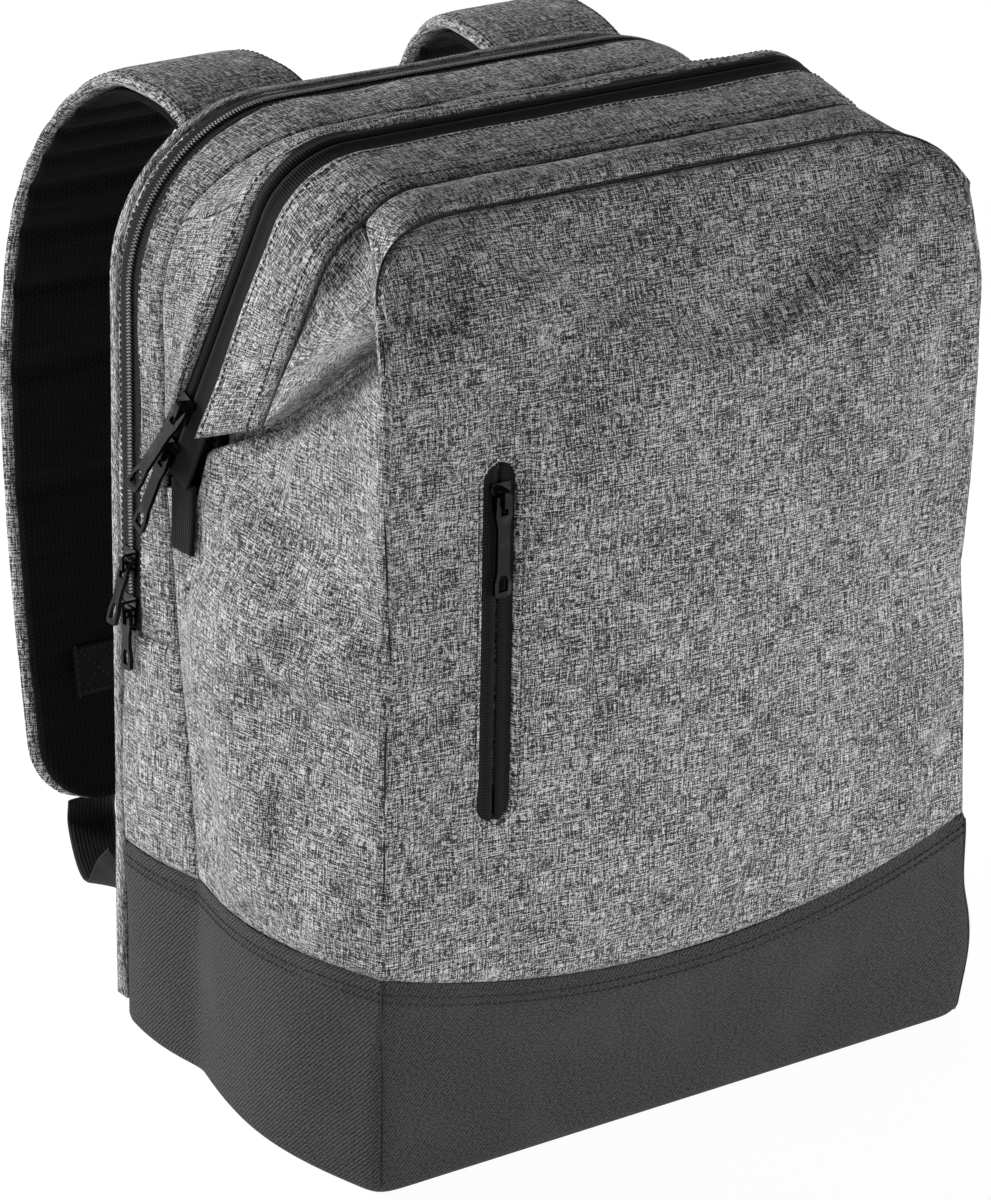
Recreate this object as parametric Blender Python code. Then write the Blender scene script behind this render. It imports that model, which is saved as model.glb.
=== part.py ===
"""Racket backpack: two zipped compartments, a front pocket, a dark base and two padded shoulder straps.

Metres, +Z up. The front of the bag faces -Y and its underside lies on Z = 0.
"""
import math

import bmesh
import bpy
import numpy as np
from mathutils import Matrix, Vector

MM = 0.001

# Body
HALF_WIDTH = 152 * MM
HALF_DEPTH = 98 * MM
FABRIC = 3 * MM
SEAM_GAP = 0.4 * MM
FIT_GAP = 0.4 * MM
SIDE_BULGE = 12 * MM
SIDE_TUCK = 5 * MM
FRONT_BULGE = 6 * MM

# Dark base
BASE_EDGE_FRONT = 98 * MM
BASE_EDGE_BACK = 86 * MM
BASE_EDGE_DIP = 24 * MM
BASE_ROUND = 6 * MM
BOARD_THICK = 3 * MM

# Front panel, its leaning top and the fold on which the top flap swings
SHOULDER_Z = 330 * MM
SHOULDER_DEPTH = 43 * MM
SHOULDER_RISE = 75 * MM
FOLD_ANGLE = math.radians(30)
ARCH_ANGLE = math.radians(72)
ARCH_CORNER = 52 * MM

# Mouth of the front compartment: a flat U of zip that leans back towards its two ends
MOUTH_END_Y = 56 * MM
MOUTH_END_Z = 268 * MM
MOUTH_TOP_Y = -6 * MM
MOUTH_TOP_Z = 415 * MM
MOUTH_END_HALF = HALF_WIDTH + 2.5 * MM
MOUTH_TOP_HALF = HALF_WIDTH - 13 * MM
MOUTH_CORNER = 32 * MM
TOP_SLOPE = math.radians(12)
TAPE_THICK = 1.2 * MM
TAPE_PART = 0.8 * MM
TAPE_REAR = 7 * MM
TAPE_FRONT = 14 * MM
LIP_BAND = 30 * MM
BAND_LOW_INNER = 22 * MM
BAND_LOW_OUTER = 57 * MM

# Rear compartment
REAR_SEAM_LOW = 38 * MM
REAR_SEAM_HIGH = 63 * MM
REAR_SEAM_TOP = 47 * MM
REAR_CROWN = 3 * MM
REAR_ZIP_Z = 188 * MM
REAR_ZIP_Y = HALF_DEPTH - 13 * MM
REAR_TAPE = 6.4 * MM
ARCH_TOP = 404 * MM
ARCH_RADIUS = 70 * MM
DIVIDER = 4 * MM
BACK_THICK = 10 * MM
PAD_THICK = 9 * MM

# Front pocket
POCKET_X = 52 * MM - HALF_WIDTH
POCKET_LOW = 156 * MM
POCKET_HIGH = 308 * MM
POCKET_SLOT = 16 * MM
POCKET_DEPTH = 11 * MM
POCKET_RECESS = 2.2 * MM

# Shoulder straps and their adjusters
STRAP_WIDTH = 70 * MM
STRAP_X = HALF_WIDTH - 72 * MM
STRAP_COVER = 8 * MM
STRAP_LINING = 3 * MM
LAYER_GAP = 0.8 * MM
WEB_WIDTH = 25 * MM
WEB_THICK = 1.6 * MM
LOCK_WIDTH = 33 * MM
LOCK_THICK = 4 * MM

# Zip sliders and pulls
SLIDER_LONG = 12 * MM
SLIDER_HALF = 4.8 * MM
PLATE = 1.1 * MM
PLATE_GAP = 0.95 * MM
BRIDGE_HALF = 1.2 * MM
EYE_HALF = 1.65 * MM
PULL_THICK = 1.8 * MM
PULL_HALF = 3.9 * MM
PULL_LONG = 41 * MM
PULL_TILT = math.radians(16)

for old in list(bpy.data.objects):
    bpy.data.objects.remove(old, do_unlink=True)


def finish(name, colour, rough, metal=0.0):
    mat = bpy.data.materials.new(name)
    mat.use_nodes = True
    shader = mat.node_tree.nodes["Principled BSDF"]
    shader.inputs["Base Color"].default_value = (*colour, 1.0)
    shader.inputs["Roughness"].default_value = rough
    shader.inputs["Metallic"].default_value = metal
    return mat


GREY = finish("grey_melange", (0.16, 0.16, 0.17), 0.9)
TWILL = finish("charcoal_twill", (0.035, 0.036, 0.04), 0.85)
TAPE = finish("black_zip_tape", (0.012, 0.012, 0.013), 0.8)
LINING = finish("black_lining", (0.015, 0.015, 0.016), 0.9)
WEBBING = finish("black_webbing", (0.014, 0.014, 0.015), 0.85)
METAL = finish("black_zinc", (0.02, 0.02, 0.022), 0.4, 0.8)
PLASTIC = finish("black_acetal", (0.012, 0.012, 0.012), 0.45)
BOARD = finish("base_board", (0.05, 0.05, 0.05), 0.6)


def solid(name, verts, faces, mat):
    mesh = bpy.data.meshes.new(name)
    mesh.from_pydata([tuple(v) for v in verts], [], faces)
    work = bmesh.new()
    work.from_mesh(mesh)
    bmesh.ops.recalc_face_normals(work, faces=work.faces)
    work.to_mesh(mesh)
    work.free()
    mesh.materials.append(mat)
    item = bpy.data.objects.new(name, mesh)
    bpy.context.scene.collection.objects.link(item)
    return item


def slab(name, outer, inner, mat):
    """Closed solid between two point grids of the same shape."""
    rows, cols = outer.shape[:2]
    verts = np.concatenate([outer.reshape(-1, 3), inner.reshape(-1, 3)])
    back = rows * cols
    faces = []
    for i in range(rows - 1):
        for j in range(cols - 1):
            a, b, c, d = i * cols + j, i * cols + j + 1, (i + 1) * cols + j + 1, (i + 1) * cols + j
            faces += [(a, b, c), (a, c, d)]
            faces += [(back + c, back + b, back + a), (back + d, back + c, back + a)]
    rim = [j for j in range(cols)]
    rim += [i * cols + cols - 1 for i in range(1, rows)]
    rim += [(rows - 1) * cols + j for j in range(cols - 2, -1, -1)]
    rim += [i * cols for i in range(rows - 2, 0, -1)]
    for k, a in enumerate(rim):
        b = rim[(k + 1) % len(rim)]
        faces.append((b, a, back + a, back + b))
    return solid(name, verts, faces, mat)


def grid_normals(grid, inside):
    """Unit normals of a point grid, turned away from the point inside."""
    du = np.gradient(grid, axis=0)
    dv = np.gradient(grid, axis=1)
    normal = np.cross(du, dv)
    normal /= np.linalg.norm(normal, axis=2, keepdims=True)
    away = np.sum(normal * (grid - np.array(inside)), axis=2).sum()
    return normal if away > 0 else -normal


def pull_in(grid, step):
    """Draw the border of a grid inwards along the surface, as a mitre."""
    out = grid.copy()
    for axis in (0, 1):
        for end, nxt in ((0, 1), (-1, -2)):
            edge = [slice(None)] * 3
            near = [slice(None)] * 3
            edge[axis] = end
            near[axis] = nxt
            way = grid[tuple(near)] - grid[tuple(edge)]
            far = np.linalg.norm(way, axis=1, keepdims=True)
            out[tuple(edge)] += way / far * np.minimum(step, 0.6 * far)
    return out


def fabric(name, grid, thick, mat, inside=(0.0, 0.0, 0.2), lift=0.0, draw=1.3):
    """Sewn panel whose outer face is the grid raised by lift, with mitred edges."""
    grid = np.array(grid, dtype=float)
    normal = grid_normals(grid, inside)
    outer = grid + normal * lift
    inner = pull_in(grid, draw * thick) + normal * (lift - thick)
    return slab(name, outer, inner, mat)


def loft(name, rings, mat):
    """Closed solid through rings of equal count with a fan at each end."""
    count = len(rings[0])
    verts = [tuple(p) for ring in rings for p in ring]
    faces = []
    for k in range(len(rings) - 1):
        for j in range(count):
            n = (j + 1) % count
            a, b, c, d = k * count + j, k * count + n, (k + 1) * count + n, (k + 1) * count + j
            faces += [(a, b, c), (a, c, d)]
    for first in (0, (len(rings) - 1) * count):
        centre = np.mean([verts[first + j] for j in range(count)], axis=0)
        verts.append(tuple(centre))
        faces += [(first + j, first + (j + 1) % count, len(verts) - 1) for j in range(count)]
    return solid(name, verts, faces, mat)


def prism(name, outline, low, high, mat, place=None):
    """Outline in X and Y carried from low to high in Z, then placed."""
    rings = [[Vector((x, y, z)) for x, y in outline] for z in (low, high)]
    if place is not None:
        rings = [[place @ p for p in ring] for ring in rings]
    count = len(outline)
    verts = [tuple(p) for ring in rings for p in ring]
    faces = [(j, (j + 1) % count, count + (j + 1) % count, count + j) for j in range(count)]
    faces += [tuple(range(count)), tuple(range(count, 2 * count))]
    return solid(name, verts, faces, mat)


def combine(item, other, how):
    tool = item.modifiers.new(how, "BOOLEAN")
    tool.operation = how
    tool.solver = "EXACT"
    tool.object = other
    view = bpy.context.evaluated_depsgraph_get()
    mesh = bpy.data.meshes.new_from_object(item.evaluated_get(view))
    item.modifiers.clear()
    item.data = mesh
    bpy.data.objects.remove(other, do_unlink=True)
    return item


def smooth(low, high, value):
    part = min(max((value - low) / (high - low), 0.0), 1.0)
    return part * part * (3 - 2 * part)


def lerp(a, b, part):
    return a + (b - a) * part


# Fold of the front top, and the frame of the mouth
FOLD_Y = -HALF_DEPTH + SHOULDER_DEPTH * (1 - math.cos(FOLD_ANGLE))
FOLD_Z = SHOULDER_Z + SHOULDER_RISE * math.sin(FOLD_ANGLE)
MOUTH_END = np.array((0.0, MOUTH_END_Y, MOUTH_END_Z))
MOUTH_RISE = np.array((0.0, MOUTH_TOP_Y - MOUTH_END_Y, MOUTH_TOP_Z - MOUTH_END_Z))
MOUTH_LONG = float(np.linalg.norm(MOUTH_RISE))
MOUTH_UP = MOUTH_RISE / MOUTH_LONG
LEG_ACROSS = np.array((0.0, -MOUTH_UP[2], MOUTH_UP[1]))
TOP_ACROSS = np.array((0.0, -math.cos(TOP_SLOPE), -math.sin(TOP_SLOPE)))
LEG_LEAN = math.atan2(MOUTH_END_HALF - MOUTH_TOP_HALF, MOUTH_LONG)
MOUTH_TANGENT = MOUTH_CORNER * math.tan((math.pi / 2 - LEG_LEAN) / 2)
LEG_LONG = MOUTH_LONG / math.cos(LEG_LEAN) - MOUTH_TANGENT


def mouth(part):
    """Point and across direction of the zip line: 0 left leg, 1 corner, 2 to 4 top, then mirrored."""
    if part > 3:
        point, across = mouth(6 - part)
        return point * np.array((-1, 1, 1)), across
    if part <= 1:
        far = part * LEG_LONG
        flat = (-MOUTH_END_HALF + far * math.sin(LEG_LEAN), far * math.cos(LEG_LEAN))
    elif part <= 2:
        turn = (part - 1) * (math.pi / 2 - LEG_LEAN)
        flat = (-MOUTH_TOP_HALF + MOUTH_TANGENT, MOUTH_LONG - MOUTH_CORNER)
        turn += LEG_LEAN
        flat = (flat[0] - MOUTH_CORNER * math.cos(turn), flat[1] + MOUTH_CORNER * math.sin(turn))
    else:
        flat = ((-MOUTH_TOP_HALF + MOUTH_TANGENT) * (3 - part), MOUTH_LONG)
    across = lerp(LEG_ACROSS, TOP_ACROSS, smooth(1, 2, part))
    across = across / np.linalg.norm(across)
    return MOUTH_END + np.array((flat[0], 0, 0)) + MOUTH_UP * flat[1], across


def mouth_at(part, far):
    point, across = mouth(part)
    return point + across * far


SEAM_LEVEL = MOUTH_END_Z - 11 * MM


def rear_seam(z):
    return float(np.interp(z, [BASE_EDGE_BACK, SEAM_LEVEL], [REAR_SEAM_LOW, REAR_SEAM_HIGH]))


def base_edge(y):
    return lerp(BASE_EDGE_FRONT, BASE_EDGE_BACK, (y + HALF_DEPTH) / (2 * HALF_DEPTH))


BAND_TIP = mouth_at(BAND_LOW_OUTER / LEG_LONG, TAPE_FRONT + LIP_BAND)
BAND_NICK = mouth_at(BAND_LOW_INNER / LEG_LONG, TAPE_FRONT)


def side_top(y):
    """Top edge of the side panel: under the zip end, then along the fold to the front corner."""
    ys = [-HALF_DEPTH, BAND_TIP[1], BAND_NICK[1], BAND_NICK[1] + 9 * MM, HALF_DEPTH]
    zs = [FOLD_Z - SEAM_GAP / 2, BAND_TIP[2] - 4 * MM, BAND_NICK[2] - 4 * MM, SEAM_LEVEL, SEAM_LEVEL]
    return float(np.interp(y, ys, zs))


def side_x(y, z):
    seam = rear_seam(z)
    if y >= seam:
        return HALF_WIDTH + REAR_CROWN * math.sin(math.pi * (y - seam) / (HALF_DEPTH - seam))
    low = base_edge(y)
    height = (z - low) / (side_top(y) - low)
    swell = SIDE_BULGE * (1 - smooth(0.5, 0.95, height)) - SIDE_TUCK * smooth(0.6, 1.0, height)
    return HALF_WIDTH + swell * math.sin(math.pi * min((seam - y) / (seam - front_y(HALF_WIDTH, z)), 1.0))


def front_y(x, z):
    swell = FRONT_BULGE * smooth(0, POCKET_LOW - 30 * MM, z)
    swell *= 1 - smooth(POCKET_HIGH + 8 * MM, FOLD_Z - 4 * MM, z)
    lean = 0.0
    if z > SHOULDER_Z:
        lean = SHOULDER_DEPTH * (1 - math.sqrt(max(0.0, 1 - ((z - SHOULDER_Z) / SHOULDER_RISE) ** 2)))
    return -HALF_DEPTH - swell * math.cos(math.pi * x / (2 * HALF_WIDTH)) + lean


def front_edge(x):
    return BASE_EDGE_FRONT - BASE_EDGE_DIP * (1 - (x / HALF_WIDTH) ** 2)


def wall(part, rise, inset):
    """Point on the base wall: 0 left, 1 front, 2 right, 3 back; rise is 0 at the floor, 1 at the rim."""
    side, along = int(part) % 4, part - int(part)
    wide, deep = HALF_WIDTH - inset, HALF_DEPTH - inset
    if side in (0, 2):
        y = lerp(deep, -deep, along) if side == 0 else lerp(-deep, deep, along)
        z = rise * base_edge(y)
        x = (wide + (side_x(y, z) - HALF_WIDTH)) * (-1 if side == 0 else 1)
        return (x, y, z)
    x = lerp(-wide, wide, along) if side == 1 else lerp(wide, -wide, along)
    if side == 3:
        return (x, deep, rise * BASE_EDGE_BACK)
    z = rise * front_edge(x)
    return (x, front_y(x, z) + inset, z)


# Base: a tray of twill with a board in its floor
PER_SIDE = 12
AROUND = [k / PER_SIDE for k in range(4 * PER_SIDE)]


def base_ring(rise, inset, z=None):
    ring = [Vector(wall(part, rise, inset)) for part in AROUND]
    for point in ring:
        if z is not None:
            point.z = z
    return ring


TRAY = [
    base_ring(0.0, BASE_ROUND, 0.0),
    base_ring(0.02, 0.3 * BASE_ROUND, 0.3 * BASE_ROUND),
    base_ring(0.06, 0.0, BASE_ROUND),
    base_ring(0.4, 0.0),
    base_ring(0.7, 0.0),
    base_ring(1.0, 0.0),
    base_ring(1.0, FABRIC),
    base_ring(0.6, FABRIC),
    base_ring(0.06, FABRIC, BASE_ROUND + FABRIC),
    base_ring(0.0, BASE_ROUND + FABRIC, FABRIC),
]
loft("base_tray", TRAY, TWILL)
board_x = HALF_WIDTH - BASE_ROUND - 2 * FABRIC
board_y = HALF_DEPTH - BASE_ROUND - 2 * FABRIC
BOARD_OUTLINE = [(-board_x, -board_y), (board_x, -board_y), (board_x, board_y), (-board_x, board_y)]
BOARD_TOP = FABRIC + FIT_GAP + BOARD_THICK
prism("base_board", BOARD_OUTLINE, FABRIC + FIT_GAP, BOARD_TOP, BOARD)

# Front panel with the slot of the pocket zip
edge_x = HALF_WIDTH - SEAM_GAP / 2
grid = []
for x in np.linspace(-edge_x, edge_x, 17):
    low = front_edge(x) + SEAM_GAP
    high = FOLD_Z - SEAM_GAP / 2
    grid.append([(x, front_y(x, z), z) for z in lerp(low, high, np.linspace(0, 1, 10))])
front_panel = fabric("front_panel", grid, FABRIC, GREY)


def slot_outline(half, low, high, steps=6):
    turns = [math.pi * k / steps for k in range(steps + 1)]
    top = [(half * math.cos(a), high - half + half * math.sin(a)) for a in turns]
    bottom = [(-half * math.cos(a), low + half - half * math.sin(a)) for a in turns]
    return top + bottom


FACING = Matrix(((1, 0, 0, POCKET_X), (0, 0, -1, 0), (0, 1, 0, 0), (0, 0, 0, 1)))
POCKET_Y = front_y(POCKET_X, 0.5 * (POCKET_LOW + POCKET_HIGH))
cutter = slot_outline(POCKET_SLOT / 2, POCKET_LOW, POCKET_HIGH)
slot = prism("slot", cutter, -POCKET_Y - 20 * MM, -POCKET_Y + 20 * MM, GREY, FACING)
combine(front_panel, slot, "DIFFERENCE")

# Pocket zip tapes and the pocket bag behind them
TAPE_Y = POCKET_Y + POCKET_RECESS
low, high = POCKET_LOW + FIT_GAP, POCKET_HIGH - FIT_GAP
for side, name in ((-1, "pocket_zip_tape_left"), (1, "pocket_zip_tape_right")):
    half = POCKET_SLOT / 2 - FIT_GAP
    turns = [math.pi / 2 * k / 5 for k in range(6)]
    top = [(half * math.cos(a), high - half + half * math.sin(a)) for a in turns]
    bottom = [(half * math.cos(a), low + half - half * math.sin(a)) for a in turns]
    outline = [(max(x, TAPE_PART), y) for x, y in bottom[::-1] + top]
    outline = [(side * x, y) for x, y in outline]
    prism(name, outline, -TAPE_Y - TAPE_THICK / 2, -TAPE_Y + TAPE_THICK / 2, TAPE, FACING)

bag_left, bag_right = POCKET_X - 25 * MM, 105 * MM
bag_low, bag_high = POCKET_LOW - 28 * MM, POCKET_HIGH + 6 * MM
rim_y = max(front_y(x, bag_low) for x in (bag_left, bag_right)) + FABRIC + FIT_GAP
tray_x = 0.5 * (bag_left + bag_right)
tray_z = 0.5 * (bag_low + bag_high)


def pocket_ring(inset, deep):
    wide = 0.5 * (bag_right - bag_left) - inset
    tall = 0.5 * (bag_high - bag_low) - inset
    corners = ((-wide, -tall), (wide, -tall), (wide, tall), (-wide, tall))
    return [(tray_x + a, rim_y + deep, tray_z + b) for a, b in corners]


SHEET = 1.4 * MM
POCKET_RINGS = [
    pocket_ring(SHEET, POCKET_DEPTH - SHEET),
    pocket_ring(SHEET, 0),
    pocket_ring(0, 0),
    pocket_ring(0, POCKET_DEPTH),
]
loft("pocket_lining", POCKET_RINGS, LINING)

# Side panels and the lower sides of the rear compartment
for side, word in ((-1, "left"), (1, "right")):
    grid = []
    for along in np.linspace(0, 1, 13):
        column = []
        for rise in np.linspace(0, 1, 10):
            z = 0.0
            y = 0.0
            for _ in range(6):
                y = lerp(rear_seam(z) - SEAM_GAP / 2, front_y(HALF_WIDTH, z) + SEAM_GAP / 2, along)
                z = lerp(base_edge(y) + SEAM_GAP, side_top(y), rise)
            column.append((side * side_x(y, z), y, z))
        grid.append(column)
    fabric(f"{word}_side_panel", grid, FABRIC, GREY, draw=2)
    grid = []
    for along in np.linspace(0, 1, 6):
        column = []
        for rise in np.linspace(0, 1, 5):
            z = 0.0
            y = 0.0
            for _ in range(6):
                y = lerp(rear_seam(z) + SEAM_GAP / 2, HALF_DEPTH - SEAM_GAP / 2, along)
                z = lerp(base_edge(y) + SEAM_GAP, REAR_ZIP_Z, rise)
            column.append((side * side_x(y, z), y, z))
        grid.append(column)
    fabric(f"{word}_rear_side", grid, FABRIC, GREY)


# Rear compartment: an arch of gusset with the zip let into it
def arch(part):
    """Point and outward normal in X and Z: 0 to 1 left side, 1 to 2 corner, 2 to 4 top, then mirrored."""
    if part > 3:
        point, normal = arch(6 - part)
        return (-point[0], point[1]), (-normal[0], normal[1])
    spring = ARCH_TOP - ARCH_RADIUS
    if part <= 1:
        return (-HALF_WIDTH, lerp(REAR_ZIP_Z + SEAM_GAP, spring, part)), (-1.0, 0.0)
    if part <= 2:
        turn = (part - 1) * math.pi / 2
        middle = -HALF_WIDTH + ARCH_RADIUS
        point = (middle - ARCH_RADIUS * math.cos(turn), spring + ARCH_RADIUS * math.sin(turn))
        return point, (-math.cos(turn), math.sin(turn))
    return ((-HALF_WIDTH + ARCH_RADIUS) * (3 - part), ARCH_TOP), (0.0, 1.0)


def arch_seam(part):
    point, _ = arch(part)
    return lerp(rear_seam(point[1]), REAR_SEAM_TOP, smooth(1.2, 2.0, min(part, 6 - part)))


def gusset(part, y, level=False):
    point, normal = arch(part)
    seam = arch_seam(part)
    crown = REAR_CROWN * math.sin(math.pi * max(0.0, (y - seam) / (HALF_DEPTH - seam)))
    if level:
        crown = 0.85 * REAR_CROWN
    return (point[0] + normal[0] * crown, y, point[1] + normal[1] * crown)


SEAM_KINK = (SEAM_LEVEL - REAR_ZIP_Z) / (ARCH_TOP - ARCH_RADIUS - REAR_ZIP_Z)
ARCH_PARTS = sorted(
    set(np.round(np.concatenate([
        [SEAM_KINK, 6 - SEAM_KINK],
        np.linspace(0, 1, 6),
        np.linspace(1, 2, 8),
        np.linspace(2, 4, 7),
        np.linspace(4, 5, 8),
        np.linspace(5, 6, 6),
    ]), 6))
)
zip_front = REAR_ZIP_Y - REAR_TAPE - FIT_GAP
zip_back = REAR_ZIP_Y + REAR_TAPE + FIT_GAP
strips = (
    ("rear_gusset_front", None, zip_front, FABRIC, 0.0, GREY),
    ("rear_zip_tape_front", REAR_ZIP_Y - REAR_TAPE, REAR_ZIP_Y - TAPE_PART, TAPE_THICK, -0.9 * MM, TAPE),
    ("rear_zip_tape_back", REAR_ZIP_Y + TAPE_PART, REAR_ZIP_Y + REAR_TAPE, TAPE_THICK, -0.9 * MM, TAPE),
    ("rear_gusset_back", zip_back, HALF_DEPTH - SEAM_GAP / 2, FABRIC, 0.0, GREY),
)
for name, first, last, thick, lift, mat in strips:
    grid = []
    rows = 2 if mat is TAPE else (5 if first is None else 3)
    for part in ARCH_PARTS:
        start = arch_seam(part) + SEAM_GAP / 2 if first is None else first
        grid.append([gusset(part, y, mat is TAPE) for y in np.linspace(start, last, rows)])
    fabric(name, grid, thick, mat, (0.0, HALF_DEPTH / 2, 0.2), lift)

# Padded back with two long pads and a lower pad
BACK_Y = HALF_DEPTH + FIT_GAP


def arch_outline(inset, low, steps=8):
    spring = ARCH_TOP - ARCH_RADIUS
    turns = [math.pi / 2 * k / steps for k in range(steps + 1)]
    radius = ARCH_RADIUS - inset
    middle = HALF_WIDTH - ARCH_RADIUS
    right = [(middle + radius * math.cos(a), spring + radius * math.sin(a)) for a in turns]
    left = [(-x, z) for x, z in right[::-1]]
    return [(HALF_WIDTH - inset, low)] + right + left + [(-HALF_WIDTH + inset, low)]


back_rings = []
for inset, deep in ((3 * MM, 0.0), (0.0, 3 * MM), (0.0, BACK_THICK - 3 * MM), (4 * MM, BACK_THICK)):
    back_rings.append([(x, BACK_Y + deep, z) for x, z in arch_outline(inset, BASE_ROUND + inset)])
loft("back_panel", back_rings, LINING)
PAD_Y = BACK_Y + BACK_THICK + FIT_GAP
PAD_HALF = 0.5 * (HALF_WIDTH - 26 * MM) - 6 * MM
pads = (
    ("left_back_pad", -6 * MM - PAD_HALF, PAD_HALF, 135 * MM, ARCH_TOP - 62 * MM),
    ("right_back_pad", 6 * MM + PAD_HALF, PAD_HALF, 135 * MM, ARCH_TOP - 62 * MM),
    ("lower_back_pad", 0.0, HALF_WIDTH - 26 * MM - 6 * MM, 45 * MM, 123 * MM),
)
for name, middle, half, low, high in pads:
    rings = []
    for inset, deep in ((0.0, 0.0), (0.0, 0.45 * PAD_THICK), (5 * MM, 0.9 * PAD_THICK), (12 * MM, PAD_THICK)):
        ring = []
        for sx, sz, start in ((1, 1, 0), (-1, 1, 1), (-1, -1, 2), (1, -1, 3)):
            round_off = 16 * MM
            for k in range(4):
                turn = math.pi / 2 * (start + k / 3)
                x = sx * (half - round_off) + (round_off - inset) * math.cos(turn)
                z = 0.5 * (low + high) + sz * (0.5 * (high - low) - round_off)
                z += (round_off - inset) * math.sin(turn)
                ring.append((middle + x, PAD_Y + deep, z))
        rings.append(ring)
    loft(name, rings, LINING)

# Padded divider between the compartments
DIVIDER_Y = REAR_SEAM_LOW + 2 * MM
wide = HALF_WIDTH - FABRIC - SIDE_TUCK - FIT_GAP
top = ARCH_TOP - 20 * MM
outline = [(wide, BOARD_TOP + FIT_GAP), (wide, 240 * MM)]
outline += [(wide - 8 * MM, 300 * MM), (wide - 14 * MM, 345 * MM)]
outline += [(wide - 26 * MM, top - 12 * MM), (wide - 48 * MM, top)]
outline += [(-x, z) for x, z in outline[::-1]]
UPRIGHT = Matrix(((1, 0, 0, 0), (0, 0, 1, 0), (0, 1, 0, 0), (0, 0, 0, 1)))
prism("divider", outline, DIVIDER_Y, DIVIDER_Y + DIVIDER, LINING, UPRIGHT)

# Mouth of the front compartment: zip tapes, lip bands, front top and the folding gussets
LEG = list(np.linspace(0.0, 1.0, 7))
TOP = np.concatenate([np.linspace(1, 2, 8), np.linspace(2, 4, 9), np.linspace(4, 5, 8)])
TOP = sorted(set(np.round(TOP, 6)))
REAR = LEG[:-1] + TOP + [6 - p for p in LEG[::-1]][1:]
HUB = (0.0, 0.01, 0.25)


def mouth_grid(parts, first, last, rows):
    return [[mouth_at(p, n) for n in np.linspace(first, last, rows)] for p in parts]


half_tape = TAPE_THICK / 2
fabric("mouth_zip_tape_rear", mouth_grid(REAR, -TAPE_REAR, -TAPE_PART, 2), TAPE_THICK, TAPE, HUB, half_tape)
fabric("mouth_zip_tape_front", mouth_grid(TOP, TAPE_PART, TAPE_FRONT, 3), TAPE_THICK, TAPE, HUB, half_tape)
band_in, band_out = TAPE_FRONT + SEAM_GAP, TAPE_FRONT + LIP_BAND
fabric("front_lip_band", mouth_grid(TOP, band_in, band_out, 4), FABRIC, GREY, HUB, FABRIC / 2)
join = SEAM_GAP / LEG_LONG
for mirror, word in ((False, "left"), (True, "right")):
    legs = [min(p, 1 - join) for p in LEG]
    if mirror:
        legs = [6 - p for p in legs]
    fabric(f"{word}_zip_leg", mouth_grid(legs, TAPE_PART, TAPE_FRONT, 3), TAPE_THICK, TAPE, HUB, half_tape)
    grid = []
    for rise in np.linspace(0, 1, 6):
        row = []
        for far in np.linspace(0, 1, 4):
            start = lerp(BAND_LOW_INNER, BAND_LOW_OUTER, far) / LEG_LONG
            p = lerp(start, 1 - join, rise)
            row.append(mouth_at(6 - p if mirror else p, lerp(band_in, band_out, far)))
        grid.append(row)
    fabric(f"{word}_lip_leg", grid, FABRIC, GREY, HUB, FABRIC / 2)

BAND_PARTS = [p for p in REAR if 0.22 <= min(p, 6 - p)]
grid = []
for p in BAND_PARTS:
    fold = min(p, 6 - p)
    start = mouth_at(p, -TAPE_REAR - SEAM_GAP)
    if fold <= 1:
        z = start[2]
        side = -1 if p < 3 else 1
        spring = ARCH_TOP - ARCH_RADIUS
        rise = (min(z, spring) - REAR_ZIP_Z) / (spring - REAR_ZIP_Z)
        if z > spring:
            rise = 1 + 0.45 * (z - spring) / (ARCH_TOP - spring)
        match = rise if p < 3 else 6 - rise
    else:
        match = fold if fold > 2 else lerp(1.32, 2.0, smooth(1, 2, fold))
        match = match if p < 3 else 6 - match
    point, normal = arch(match)
    end = np.array((point[0], arch_seam(match) - SEAM_GAP / 2, point[1]))
    out = np.array((normal[0], 0.0, normal[1]))
    dip = 7 * MM * smooth(1.0, 2.0, fold)
    grid.append([lerp(start, end, r) - out * dip * math.sin(math.pi * r) for r in np.linspace(0, 1, 5)])
fabric("rear_lip_band", grid, 2 * MM, GREY, HUB, 0.5 * MM)


def front_cap(x, angle):
    y = -HALF_DEPTH + SHOULDER_DEPTH * (1 - math.cos(angle))
    return np.array((x, y, SHOULDER_Z + SHOULDER_RISE * math.sin(angle)))


def arch_angle(x):
    past = max(0.0, abs(x) - (HALF_WIDTH - ARCH_CORNER)) / ARCH_CORNER
    return lerp(FOLD_ANGLE, ARCH_ANGLE, math.sqrt(max(0.0, 1 - past * past)))


CAP_X = HALF_WIDTH - 4 * MM
CAP_COLUMNS = [CAP_X * math.sin(math.pi / 2 * part) for part in np.linspace(-1, 1, 19)]
fold_gap = SEAM_GAP / 2 / SHOULDER_RISE
grid = []
for x in CAP_COLUMNS:
    grid.append([front_cap(x, a) for a in np.linspace(FOLD_ANGLE + fold_gap, arch_angle(x), 6)])
fabric("front_panel_top", grid, FABRIC, GREY)

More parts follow.
